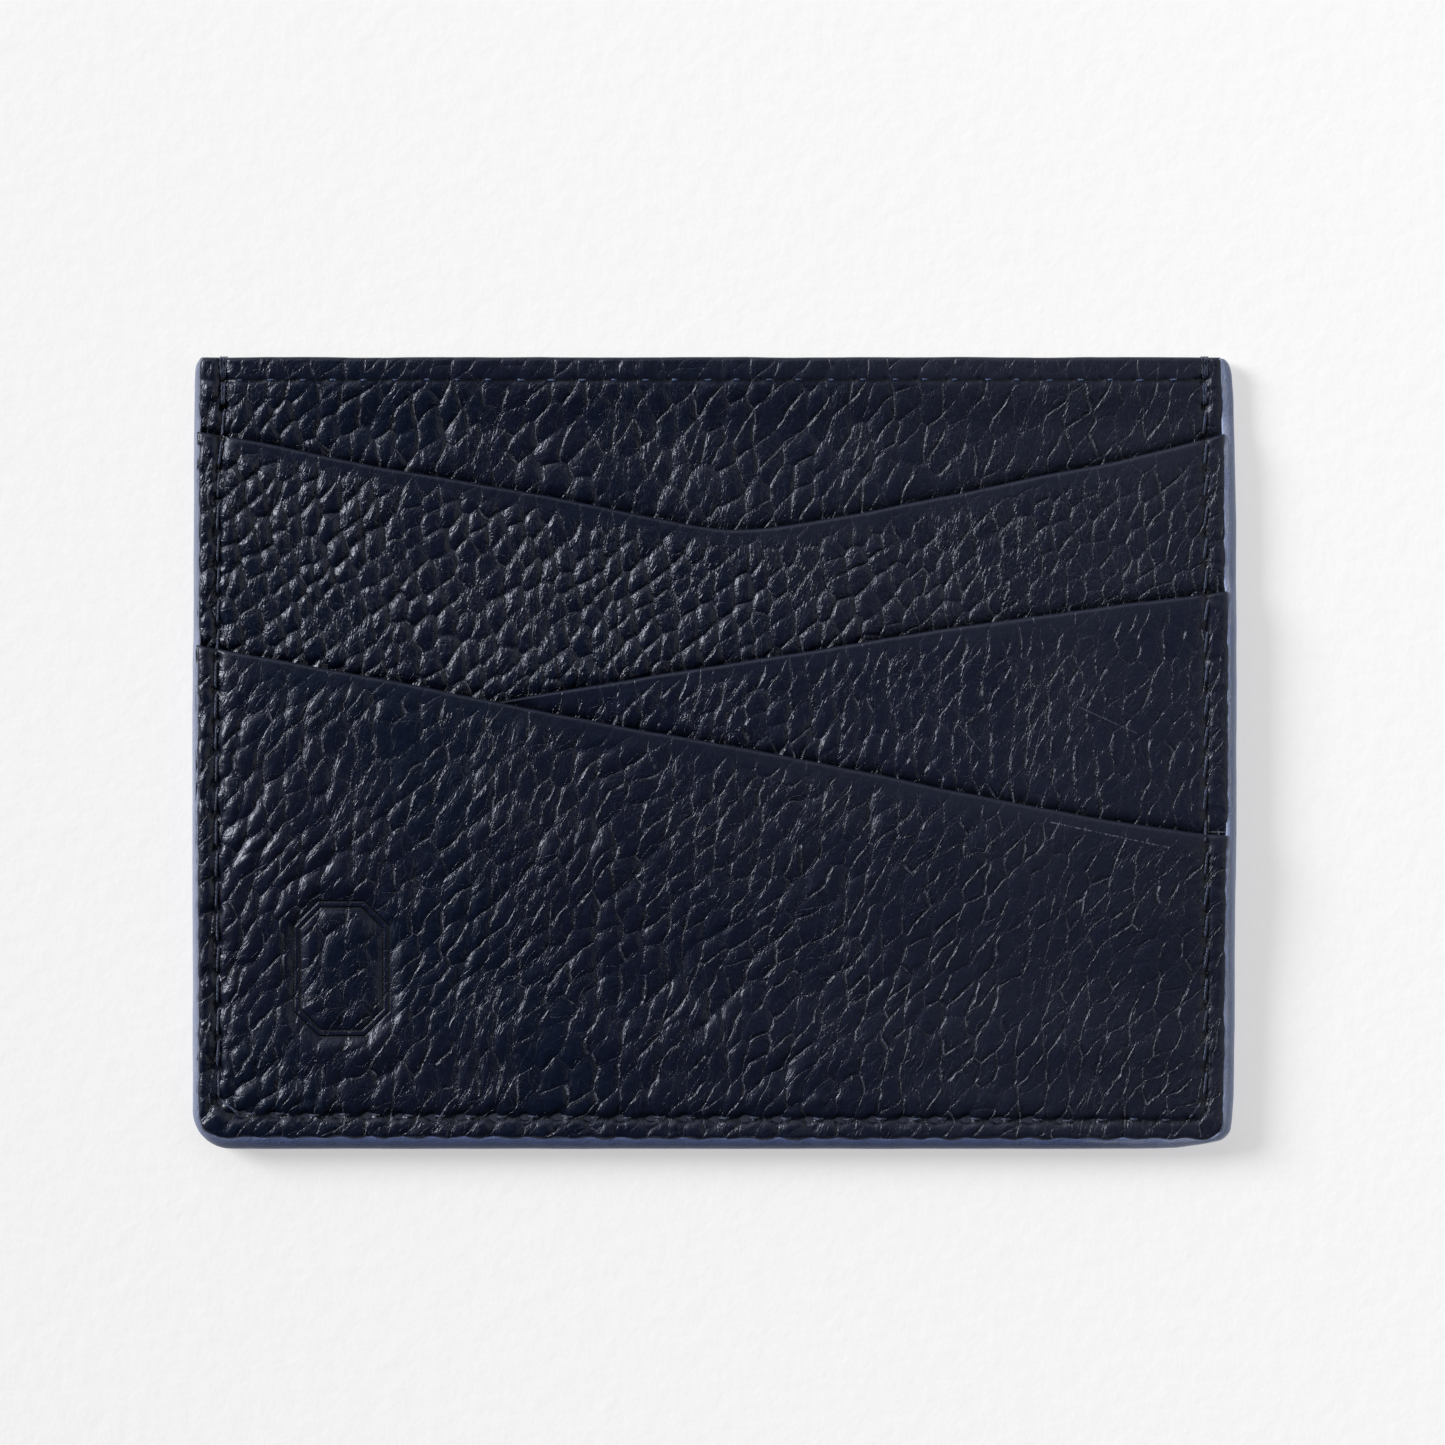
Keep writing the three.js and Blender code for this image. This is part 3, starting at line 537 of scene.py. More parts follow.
# ------------------------------------------------------------------ node helpers
class Nodes:
    def __init__(self, tree):
        self.t = tree

    def new(self, kind, **props):
        n = self.t.nodes.new(kind)
        for k, v in props.items():
            setattr(n, k, v)
        return n

    def put(self, socket, value):
        if isinstance(value, bpy.types.NodeSocket):
            self.t.links.new(value, socket)
        else:
            socket.default_value = value

    def math(self, op, a, b=None, c=None, clamp=False):
        n = self.new("ShaderNodeMath", operation=op, use_clamp=clamp)
        for k, v in enumerate((a, b, c)):
            if v is not None:
                self.put(n.inputs[k], v)
        return n.outputs[0]

    def vmath(self, op, a, b=None, scale=None):
        n = self.new("ShaderNodeVectorMath", operation=op)
        self.put(n.inputs[0], a)
        if b is not None:
            self.put(n.inputs[1], b)
        if scale is not None:
            self.put(n.inputs["Scale"], scale)
        return n.outputs["Value"] if op in ("DOT_PRODUCT", "LENGTH", "DISTANCE") else n.outputs[0]

    def xyz(self, x, y, z=0.0):
        n = self.new("ShaderNodeCombineXYZ")
        for k, v in enumerate((x, y, z)):
            self.put(n.inputs[k], v)
        return n.outputs[0]

    def noise(self, vec, scale, detail=2.0, rough=0.5, dims="2D"):
        n = self.new("ShaderNodeTexNoise", noise_dimensions=dims)
        self.put(n.inputs["Vector"], vec)
        n.inputs["Scale"].default_value = scale
        n.inputs["Detail"].default_value = detail
        n.inputs["Roughness"].default_value = rough
        return n

    def voronoi(self, vec, feature, random=1.0, scale=1.0, dims="2D"):
        n = self.new("ShaderNodeTexVoronoi", voronoi_dimensions=dims, feature=feature)
        self.put(n.inputs["Vector"], vec)
        n.inputs["Scale"].default_value = scale
        n.inputs["Randomness"].default_value = random
        return n

    def ramp(self, v, a, b, lo=0.0, hi=1.0, smooth=True):
        n = self.new("ShaderNodeMapRange")
        n.interpolation_type = "SMOOTHSTEP" if smooth else "LINEAR"
        self.put(n.inputs["Value"], v)
        n.inputs["From Min"].default_value = a
        n.inputs["From Max"].default_value = b
        n.inputs["To Min"].default_value = lo
        n.inputs["To Max"].default_value = hi
        return n.outputs[0]

    def mixc(self, f, a, b, blend="MIX"):
        n = self.new("ShaderNodeMix", data_type="RGBA", blend_type=blend)
        self.put(n.inputs["Factor"], f)
        self.put(n.inputs["A"], a)
        self.put(n.inputs["B"], b)
        return [o for o in n.outputs if o.type == "RGBA"][0]


def lattice_rows(alpha, beta, sa, sb):
    a, b = math.radians(alpha), math.radians(beta)
    det = math.sin(b - a)
    return ((math.sin(b) / det / sa, -math.cos(b) / det / sa, 0.0), (-math.sin(a) / det / sb, math.cos(a) / det / sb, 0.0))


def lattice(N, vec, alpha, beta, sa, sb):
    """Coordinates along two crease directions, one unit per pebble."""
    r1, r2 = lattice_rows(alpha, beta, sa, sb)
    return N.xyz(N.vmath("DOT_PRODUCT", vec, r1), N.vmath("DOT_PRODUCT", vec, r2))


def grain(N, rest, P, fine=False):
    """Pebbled grain from rest coordinates in mm. The same nodes shape the mesh and shade it."""
    half = (0.5, 0.5, 0.5)
    warp = N.noise(rest, 0.075, 1.0).outputs["Color"]
    v1 = N.vmath("ADD", rest, N.vmath("SCALE", N.vmath("SUBTRACT", warp, half), scale=P["warp"]))
    warp2 = N.noise(rest, 0.42, 1.0).outputs["Color"]
    v2 = N.vmath("ADD", v1, N.vmath("SCALE", N.vmath("SUBTRACT", warp2, half), scale=P["wobble"]))
    q = lattice(N, v2, P["alpha"], P["beta"], P["sa"], P["sb"])
    out = {"v": v2, "q": q}
    out["d"] = N.voronoi(q, "DISTANCE_TO_EDGE", P["random"]).outputs["Distance"]
    out["f1"] = N.voronoi(q, "F1", P["random"]).outputs["Distance"]
    out["mask"] = N.noise(rest, 0.19, 2.0).outputs["Fac"]
    q2 = lattice(N, v2, P["alpha"] - 8, P["beta"] + 14, P["sa"] * 0.42, P["sb"] * 0.42)
    out["d2"] = N.voronoi(q2, "DISTANCE_TO_EDGE", 0.95).outputs["Distance"]
    if fine:
        # the crease between this pebble and its neighbour: true distance in mm, direction, a random number
        r1, r2 = lattice_rows(P["alpha"], P["beta"], P["sa"], P["sb"])
        f1 = N.voronoi(q, "F1", P["random"]).outputs["Position"]
        f2 = N.voronoi(q, "F2", P["random"]).outputs["Position"]
        E = N.vmath("SUBTRACT", f2, f1)
        M = N.vmath("SCALE", N.vmath("ADD", f1, f2), scale=0.5)
        sep = N.new("ShaderNodeSeparateXYZ")
        N.put(sep.inputs[0], E)
        T = N.vmath("ADD", N.vmath("SCALE", r1, scale=sep.outputs[0]), N.vmath("SCALE", r2, scale=sep.outputs[1]))
        L = N.vmath("LENGTH", T)
        dist = N.math("DIVIDE", N.vmath("DOT_PRODUCT", N.vmath("SUBTRACT", M, q), E), L)
        n = N.new("ShaderNodeSeparateXYZ")
        N.put(n.inputs[0], N.vmath("SCALE", T, scale=N.math("DIVIDE", 1.0, L)))
        t = N.xyz(N.math("MULTIPLY", n.outputs[1], -1.0), n.outputs[0])
        along = N.vmath("DOT_PRODUCT", v2, t)
        rnd = N.noise(M, 9.7, 0.0, dims="3D").outputs["Fac"]
        out.update(dist=N.math("ABSOLUTE", dist), nx=N.math("ABSOLUTE", n.outputs[0]), along=along, rnd=rnd)
    return out


def pebble_height(N, g, P):
    """Height in mm for the mesh: domed pebbles with softly sunk creases."""
    t = N.math("MINIMUM", N.math("DIVIDE", g["d"], P["dome_w"]), 1.0)
    dome = N.math("SUBTRACT", 1.0, N.math("POWER", N.math("SUBTRACT", 1.0, t), 2.0))
    crease = N.math("EXPONENT", N.math("MULTIPLY", g["d"], -1.0 / P["crease_w"]))
    m = N.ramp(g["mask"], 0.32, 0.66, 0.5, 1.2)
    h = N.math("MULTIPLY", dome, N.math("MULTIPLY", m, P["dome"]))
    bulge = N.math("SUBTRACT", 1.0, N.math("POWER", N.math("DIVIDE", g["f1"], 0.8), 2.0))
    h = N.math("ADD", h, N.math("MULTIPLY", bulge, N.math("MULTIPLY", m, P["bulge"])))
    h = N.math("SUBTRACT", h, N.math("MULTIPLY", m, 0.55 * (P["bulge"] + P["dome"])))
    h = N.math("SUBTRACT", h, N.math("MULTIPLY", N.math("MULTIPLY", crease, m), P["crease"]))
    return h


def emboss(ob, P, up=True):
    """Raises the grain in the mesh with geometry nodes, then applies it."""
    ng = bpy.data.node_groups.new(ob.name + "_grain", "GeometryNodeTree")
    ng.interface.new_socket(name="Geometry", in_out="INPUT", socket_type="NodeSocketGeometry")
    ng.interface.new_socket(name="Geometry", in_out="OUTPUT", socket_type="NodeSocketGeometry")
    N = Nodes(ng)
    gi, go = N.new("NodeGroupInput"), N.new("NodeGroupOutput")
    rest = N.new("GeometryNodeInputNamedAttribute", data_type="FLOAT_VECTOR")
    rest.inputs["Name"].default_value = "rest"
    amp = N.new("GeometryNodeInputNamedAttribute", data_type="FLOAT")
    amp.inputs["Name"].default_value = "relief"
    g = grain(N, rest.outputs["Attribute"], P)
    h = pebble_height(N, g, P)
    z = N.math("MULTIPLY", N.math("MULTIPLY", h, amp.outputs["Attribute"]), MM if up else -MM)
    sp = N.new("GeometryNodeSetPosition")
    ng.links.new(gi.outputs[0], sp.inputs["Geometry"])
    ng.links.new(N.xyz(0.0, 0.0, z), sp.inputs["Offset"])
    ng.links.new(sp.outputs[0], go.inputs[0])
    mod = ob.modifiers.new("grain", "NODES")
    mod.node_group = ng
    dg = bpy.context.evaluated_depsgraph_get()
    me = bpy.data.meshes.new_from_object(ob.evaluated_get(dg), preserve_all_data_layers=True, depsgraph=dg)
    old = ob.data
    ob.modifiers.clear()
    ob.data = me
    bpy.data.meshes.remove(old)
    me.name = ob.name
    bpy.data.node_groups.remove(ng)


def lie_flat(ob):
    """Nothing of the back goes below the table it rests on."""
    n = len(ob.data.vertices)
    co = np.empty(n * 3, np.float32)
    ob.data.vertices.foreach_get("co", co)
    co = co.reshape(-1, 3)
    co[:, 2] = np.maximum(co[:, 2], 0.01 * MM)
    ob.data.vertices.foreach_set("co", co.reshape(-1))
    ob.data.update()


def principled(name, **values):
    m = bpy.data.materials.new(name)
    m.use_nodes = True
    b = m.node_tree.nodes["Principled BSDF"]
    for k, v in values.items():
        b.inputs[k].default_value = v
    return m, Nodes(m.node_tree), b


def leather_material(name, P, scuffs=(), frame_at=None, tint=(0.0026, 0.0054, 0.0172)):
    m, N, b = principled(name)
    b.inputs["Specular IOR Level"].default_value = 0.5
    b.inputs["IOR"].default_value = 1.5
    b.inputs["Specular Tint"].default_value = (0.84, 0.885, 1.0, 1.0)
    rest = N.new("ShaderNodeAttribute", attribute_name="rest").outputs["Vector"]
    amp = N.new("ShaderNodeAttribute", attribute_name="amp").outputs["Fac"]
    hole = N.new("ShaderNodeAttribute", attribute_name="hole").outputs["Fac"]
    matte_and_painted_haze = N.new("ShaderNodeAttribute", attribute_name="matte_and_painted_haze").outputs["Fac"]
    g = grain(N, rest, P, fine=True)
    # colour: deep navy that drifts between blue and violet
    big = N.noise(rest, 0.06, 3.0).outputs["Fac"]
    fine = N.noise(rest, 1.6, 4.0, 0.65).outputs["Fac"]
    c1 = tuple(tint) + (1.0,)
    c2 = (tint[0] * 1.7, tint[1] * 1.02, tint[2] * 0.98, 1.0)
    c3 = (tint[0] * 1.3, tint[1] * 1.45, tint[2] * 1.5, 1.0)
    col = N.mixc(N.ramp(big, 0.38, 0.65), c1, c2)
    col = N.mixc(N.ramp(fine, 0.35, 0.75, 0.0, 0.8), col, c3)
    # painted haze: toward the right, where the finish is rougher, the base colour is lifted lighter and bluer to stand
    # in for the veil of reflected light
    col = N.mixc(N.math("MULTIPLY", matte_and_painted_haze, 0.85), col, (0.0090, 0.0110, 0.0260, 1.0))
    # painted shade: near-black where the hole attribute marks needle holes, grooves and the leather under the mouths
    col = N.mixc(N.math("MULTIPLY", hole, 0.97), col, (0.0006, 0.0007, 0.0012, 1.0))
    r = N.math("ADD", N.math("MULTIPLY", N.math("SUBTRACT", fine, 0.5), 0.12), P["rough"])
    r = N.math("SUBTRACT", r, N.math("MULTIPLY", hole, 0.06))
    r = N.math("ADD", r, N.math("MULTIPLY", matte_and_painted_haze, 0.08))
    N.put(b.inputs["Roughness"], N.math("ADD", r, N.ramp(amp, 0.1, 0.7, 0.05, 0.0)))
    # relief finer than the mesh: crease bottoms, folds that run along the creases, pores
    rnd = N.ramp(g["rnd"], 0.36, 0.62, P["faint"], 1.2)
    way = N.ramp(g["nx"], P["way0"], P["way1"], P["way"], 1.1)
    gaps = N.ramp(N.noise(rest, 0.75, 1.0).outputs["Fac"], 0.40, 0.56, P["gap"], 1.1)
    way = N.math("MULTIPLY", way, gaps)
    jag = N.noise(rest, 3.1, 2.0).outputs["Fac"]
    dist = N.math("ADD", g["dist"], N.math("MULTIPLY", N.math("SUBTRACT", jag, 0.5), P["jag"]))
    dist = N.math("ABSOLUTE", dist)
    strength = N.math("MULTIPLY", N.math("MULTIPLY", rnd, way), N.ramp(jag, 0.3, 0.6, 0.45, 1.15))
    crease = N.math("MULTIPLY", N.math("EXPONENT", N.math("MULTIPLY", dist, -1.0 / P["line_w"])), strength)
    strand = N.noise(N.xyz(N.math("MULTIPLY", g["along"], 1.25), N.math("MULTIPLY", dist, P["strand_f"]),
                           N.math("MULTIPLY", g["rnd"], 60.0)), 1.0, 1.0, 0.5, dims="3D").outputs["Fac"]
    near = N.math("EXPONENT", N.math("MULTIPLY", dist, -1.0 / P["strand_w"]))
    strand = N.math("MULTIPLY", N.math("MULTIPLY", N.math("SUBTRACT", strand, 0.5), near), N.math("ADD", strength, 0.25))
    minor = N.math("EXPONENT", N.math("MULTIPLY", g["d2"], -1.0 / 0.05))
    m2 = N.ramp(N.noise(rest, 0.33, 2.0).outputs["Fac"], 0.45, 0.65, 0.0, 1.0)
    pore = N.noise(rest, 3.4, 1.5, 0.5).outputs["Fac"]
    a = math.radians(P["hatch"])
    hatch = N.noise(N.xyz(N.vmath("DOT_PRODUCT", g["v"], (math.sin(a) * 5.0, -math.cos(a) * 5.0, 0)),
                          N.vmath("DOT_PRODUCT", g["v"], (math.cos(a) * 1.2, math.sin(a) * 1.2, 0))), 1.0, 1.5, 0.5).outputs["Fac"]
    slope = N.math("EXPONENT", N.math("MULTIPLY", g["dist"], -1.0 / P["hatch_w"]))
    slope = N.math("MULTIPLY", slope, N.ramp(N.noise(rest, 0.085, 1.0).outputs["Fac"], 0.40, 0.60, 0.35, 1.15))
    # painted glints: pale lines along the creases stand in for the highlights the key light puts on crease walls
    painted_glint = N.math("MULTIPLY", N.math("EXPONENT", N.math("MULTIPLY", dist, -1.0 / P["painted_glint_w"])), strength)
    painted_glint = N.math("MULTIPLY", N.ramp(painted_glint, P["rare"], 0.95), N.ramp(amp, 0.3, 0.9))
    painted_glint = N.math("MULTIPLY", painted_glint, N.ramp(N.noise(rest, 1.1, 2.0, 0.6).outputs["Fac"], 0.35, 0.62))
    # painted shade in the crease valleys
    valley = N.math("SUBTRACT", dist, 0.20)
    valley = N.math("EXPONENT", N.math("MULTIPLY", N.math("MULTIPLY", valley, valley), -60.0))
    valley = N.math("MULTIPLY", N.math("MULTIPLY", valley, N.ramp(strength, 0.1, 0.9)), N.ramp(amp, 0.2, 0.8, 0.0, 0.8))
    col = N.mixc(valley, col, (0.0012, 0.0018, 0.0050, 1.0))
    # painted glint colour mixed in along the creases
    col = N.mixc(N.math("MULTIPLY", painted_glint, P["painted_glint"]), col,
                 (0.078 * P["shine"], 0.086 * P["shine"], 0.118 * P["shine"], 1.0))
    broken = N.ramp(N.noise(rest, 3.2, 1.0).outputs["Fac"], 0.44, 0.54, 0.1, 1.0)
    for (ax, ay, bx, by, w, k, dotted) in scuffs:
        vx, vy = bx - ax, by - ay
        ll = vx * vx + vy * vy
        rel = N.vmath("SUBTRACT", rest, (ax, ay, 0.0))
        t = N.math("MULTIPLY", N.vmath("DOT_PRODUCT", rel, (vx, vy, 0.0)), 1.0 / ll, clamp=True)
        near_ = N.vmath("LENGTH", N.vmath("SUBTRACT", rel, N.vmath("SCALE", (vx, vy, 0.0), scale=t)))
        near_ = N.math("ADD", near_, N.math("MULTIPLY", N.math("SUBTRACT", jag, 0.5), 0.1))
        m_ = N.math("MULTIPLY", N.ramp(near_, w * 0.4, w, 1.0, 0.0), k)
        if dotted:
            m_ = N.math("MULTIPLY", m_, broken)
        col = N.mixc(m_, col, (0.16, 0.17, 0.20, 1.0))
    fine_lines = None
    if frame_at is not None:  # the two debossed lines of the blank plaque
        rel = N.vmath("ABSOLUTE", N.vmath("SUBTRACT", rest, (frame_at[0], frame_at[1], 0.0)))
        sp = N.new("ShaderNodeSeparateXYZ")
        N.put(sp.inputs[0], rel)
        sx, sy = sp.outputs[0], sp.outputs[1]
        d0 = N.math("MINIMUM", N.math("SUBTRACT", PW / 2, sx), N.math("SUBTRACT", PH / 2, sy))
        d1 = N.math("MULTIPLY", N.math("SUBTRACT", PW / 2 + PH / 2 - PCUT * 0.98, N.math("ADD", sx, sy)), 1 / 1.41421)
        d0 = N.math("MINIMUM", d0, d1)
        d0 = N.math("ADD", d0, N.math("MULTIPLY", N.math("SUBTRACT", jag, 0.5), 0.03))
        for at in (0.15, 0.75):
            v = N.math("DIVIDE", N.math("SUBTRACT", d0, at), 0.085)
            ln = N.math("EXPONENT", N.math("MULTIPLY", N.math("MULTIPLY", v, v), -1.0))
            fine_lines = ln if fine_lines is None else N.math("ADD", fine_lines, ln)
        col = N.mixc(N.math("MULTIPLY", fine_lines, 0.95, clamp=True), col, (0.0006, 0.0007, 0.0014, 1.0))
    N.put(b.inputs["Base Color"], col)
    h = N.math("MULTIPLY", crease, -P["b_crease"])
    h = N.math("ADD", h, N.math("MULTIPLY", hatch, N.math("MULTIPLY", N.math("ADD", slope, 0.08), P["b_hatch"])))
    h = N.math("ADD", h, N.math("MULTIPLY", strand, P["b_strand"]))
    h = N.math("SUBTRACT", h, N.math("MULTIPLY", N.math("MULTIPLY", minor, m2), P["b_minor"]))
    wr = N.noise(N.vmath("MULTIPLY", g["v"], (1.0, 0.8, 1.0)), 0.8, 2.0, 0.55).outputs["Fac"]
    wr = N.math("EXPONENT", N.math("MULTIPLY", N.math("ABSOLUTE", N.math("SUBTRACT", wr, 0.5)), -1.0 / 0.055))
    h = N.math("SUBTRACT", h, N.math("MULTIPLY", wr, P["b_wrinkle"]))
    h = N.math("MULTIPLY", h, N.ramp(amp, 0.05, 0.75, 0.12, 1.0, smooth=False))
    h = N.math("ADD", h, N.math("MULTIPLY", pore, P["b_pore"]))
    if fine_lines is not None:
        h = N.math("SUBTRACT", h, N.math("MULTIPLY", fine_lines, 0.10))
    bump = N.new("ShaderNodeBump")
    bump.inputs["Strength"].default_value = 1.0
    bump.inputs["Distance"].default_value = MM
    N.put(bump.inputs["Height"], h)
    N.put(b.inputs["Normal"], bump.outputs[0])
    return m


BASE = dict(alpha=40, beta=88, sa=2.9, sb=2.5, warp=3.4, wobble=0.8, random=0.64, dome=0.035, dome_w=0.16, bulge=0.28,
            crease=0.02, crease_w=0.07, rough=0.26, jag=0.13, line_w=0.07, b_crease=0.10, strand_f=7.0, painted_glint=0.85,
            painted_glint_w=0.10, strand_w=0.18, b_strand=0.14, b_minor=0.02, b_pore=0.014, hatch=72, b_hatch=0.10, hatch_w=0.34,
            faint=0.34, way=0.45, way0=0.25, way1=0.85, rare=0.30, b_wrinkle=0.014, gap=0.7, shine=1.55)
G_FRONT = dict(BASE, alpha=46, beta=100, sa=2.8, sb=2.5, wobble=0.6, dome=0.055, dome_w=0.2, bulge=0.29, rough=0.30, hatch=78,
               b_hatch=0.10, hatch_w=0.40, b_strand=0.12, faint=0.2, way=0.3, b_wrinkle=0.02, gap=0.6)
G_UPPER = dict(BASE, alpha=38, beta=102, sa=2.02, sb=2.15, warp=2.6, wobble=0.5, random=0.56, dome=0.10, dome_w=0.26,
               bulge=0.34, crease=0.03, rough=0.28, jag=0.14, strand_w=0.24, b_strand=0.13, line_w=0.08, b_hatch=0.14,
               hatch=76, hatch_w=0.34, b_minor=0.02, faint=0.35, way=0.45, b_wrinkle=0.026, gap=0.6)
G_MIDDLE = dict(BASE, alpha=50, beta=98, sa=2.5, sb=2.3, wobble=0.6, dome=0.045, bulge=0.26, b_hatch=0.10, hatch_w=0.30,
                faint=0.1, way=0.05, way0=0.55, way1=0.97, rare=0.24, painted_glint=1.0, b_crease=0.16, b_strand=0.20,
                b_wrinkle=0.014, gap=0.25, shine=2.3)
G_LOWER = dict(BASE, way=0.30, gap=0.45, faint=0.24, shine=1.8, rough=0.30)
G_BACK = dict(BASE, alpha=52, beta=98, bulge=0.14, dome=0.03)

# ------------------------------------------------------------------ blank plaque on the lower panel
PX, PY, PW, PH, PCUT = -35.6, -20.7, 9.4, 13.2, 2.5


def oct_sdf(x, y, inset):
    """Distance inside a cut-corner rectangle: positive inside."""
    ax, ay = np.abs(x - PX), np.abs(y - PY)
    a, b = PW / 2 - inset, PH / 2 - inset
    c = PCUT * 0.98
    return np.minimum(np.minimum(a - ax, b - ay), ((a + b - c) - (ax + ay)) / 1.41421)


def plaque(x, y):
    """Two fine debossed lines round a softly puffed blank field."""
    d0 = oct_sdf(x, y, 0.0)
    line = np.exp(-((d0 - 0.15) / 0.2) ** 2) + np.exp(-((d0 - 0.75) / 0.2) ** 2)
    press = -0.21 * sst(-1.15, 0.1, d0) + 0.05 * np.exp(-((d0 + 1.5) / 0.8) ** 2)
    field = 0.30 * puff(d0 - 0.9, 2.2) * (d0 > 0.9)
    rim = 0.02 * np.exp(-((d0 - 0.45) / 0.2) ** 2)
    flat = 0.7 * sst(-0.5, 0.1, d0) * (1 - 0.75 * sst(0.9, 1.6, d0))
    return -0.05 * line + press + field + rim, flat, 0.0 * line


# ------------------------------------------------------------------ build the leather
low_all = lambda x: y_bottom(x)
const = lambda v: (lambda x: np.full_like(x, v))
visible_end_upper = lambda x: np.maximum(lower_mouth(x), middle_mouth(x)) - 1.0
visible_end_middle = lambda x: np.minimum(lower_mouth(x) - 1.0, middle_mouth(x) - 3.0)

front = leather_sheet("front_panel_leather", "front", BODY, hem_top, lambda x: upper_mouth(x) - 1.0, low_all,
                      0.2, 92, 22, hem=True, grain_at=(13, 40),
                      extra=lambda x, y: beside(x, y, upper_mouth))
upper = leather_sheet("upper_slot_leather", "upper", SLOT, upper_mouth, visible_end_upper,
                      lambda x: np.interp(x, [-51, 51], [-7.0, 7.6]), 0.19, 128, 5, grain_at=(200, 90),
                      extra=lambda x, y: beside(x, y, middle_mouth, lower_mouth))
middle = leather_sheet("middle_slot_leather", "middle", SLOT, middle_mouth, visible_end_middle,
                       lambda x: np.interp(x, [-51, 51], [-7.0, -15.6]), 0.19, 118, 5, grain_at=(-120, 260),
                       extra=lambda x, y: beside(x, y, lower_mouth))
lower = leather_sheet("lower_slot_leather", "lower", SLOT, lower_mouth, lambda x: y_bottom(x), low_all,
                      0.218, 194, 0, extra=plaque, grain_at=(320, -150))
back = leather_sheet("back_panel_leather", "back", BODY, hem_top, low_all, low_all, 0.3, 250, 0, hem=True,
                     grain_at=(-310, -70), up=False)

# handling marks: start, end, half width, strength, broken or not (in each panel's rest coordinates)
SCUFFS = {
    "middle_slot_panel": [(-120 + 34.8, 260 + 4.3, -120 + 40.3, 260 + 1.8, 0.055, 0.35, False),
                          (-120 + 23.4, 260 + 2.5, -120 + 25.5, 260 + 0.0, 0.055, 0.35, False),
                          (-120 + 47.2, 260 - 6.1, -120 + 47.2, 260 - 7.6, 0.09, 0.8, False),
                          (-120 + 47.2, 260 - 7.62, -120 + 49.1, 260 - 7.66, 0.09, 0.8, False)],
    "lower_slot_panel": [(320 + 32.1, -150 - 6.7, 320 + 43.3, -150 - 9.1, 0.075, 0.65, True)],
}
for ob, P, node, slot, up in ((front, G_FRONT, "front_panel", "body_leather", True),
                              (upper, G_UPPER, "upper_slot_panel", "upper_slot_leather", True),
                              (middle, G_MIDDLE, "middle_slot_panel", "middle_slot_leather", True),
                              (lower, G_LOWER, "lower_slot_panel", "lower_slot_leather", True),
                              (back, G_BACK, "back_panel", "body_leather", False)):
    emboss(ob, P, up)
    if not up:
        lie_flat(ob)
    ob.data.materials.clear()
    ob.data.materials.append(leather_material(
        "leather_" + node, P, SCUFFS.get(node, ()), (320 + PX, -150 + PY) if node == "lower_slot_panel" else None))
    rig.ride(ob, "root")
    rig.replaces(ob, node)
    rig.slot(ob, slot)


# ------------------------------------------------------------------ linings
def lining_sheet(name, layer, upper_y, lower_y, shift):
    X = np.linspace(-48.9, 48.5, 160)
    a, b = upper_y(X), lower_y(X)
    t = np.linspace(0, 1, 46)
    Y = b[None, :] + (a - b)[None, :] * t[:, None]
    XX = X[None, :] * np.ones_like(Y)
    z = stack(XX, Y)[layer]
    lo = np.stack([XX, Y, z], -1).reshape(-1, 3)
    hi = np.stack([XX, Y, z + LINING], -1)[::-1].reshape(-1, 3)
    R, C = Y.shape
    verts = np.concatenate([lo, hi])
    q = grid_quads(2 * R, C, loop_rows=True, flip=True)
    left = [r * C for r in range(2 * R)]
    right = [r * C + C - 1 for r in range(2 * R)]
    ob = collect(name, verts, q, [left[::-1], right])
    return ob


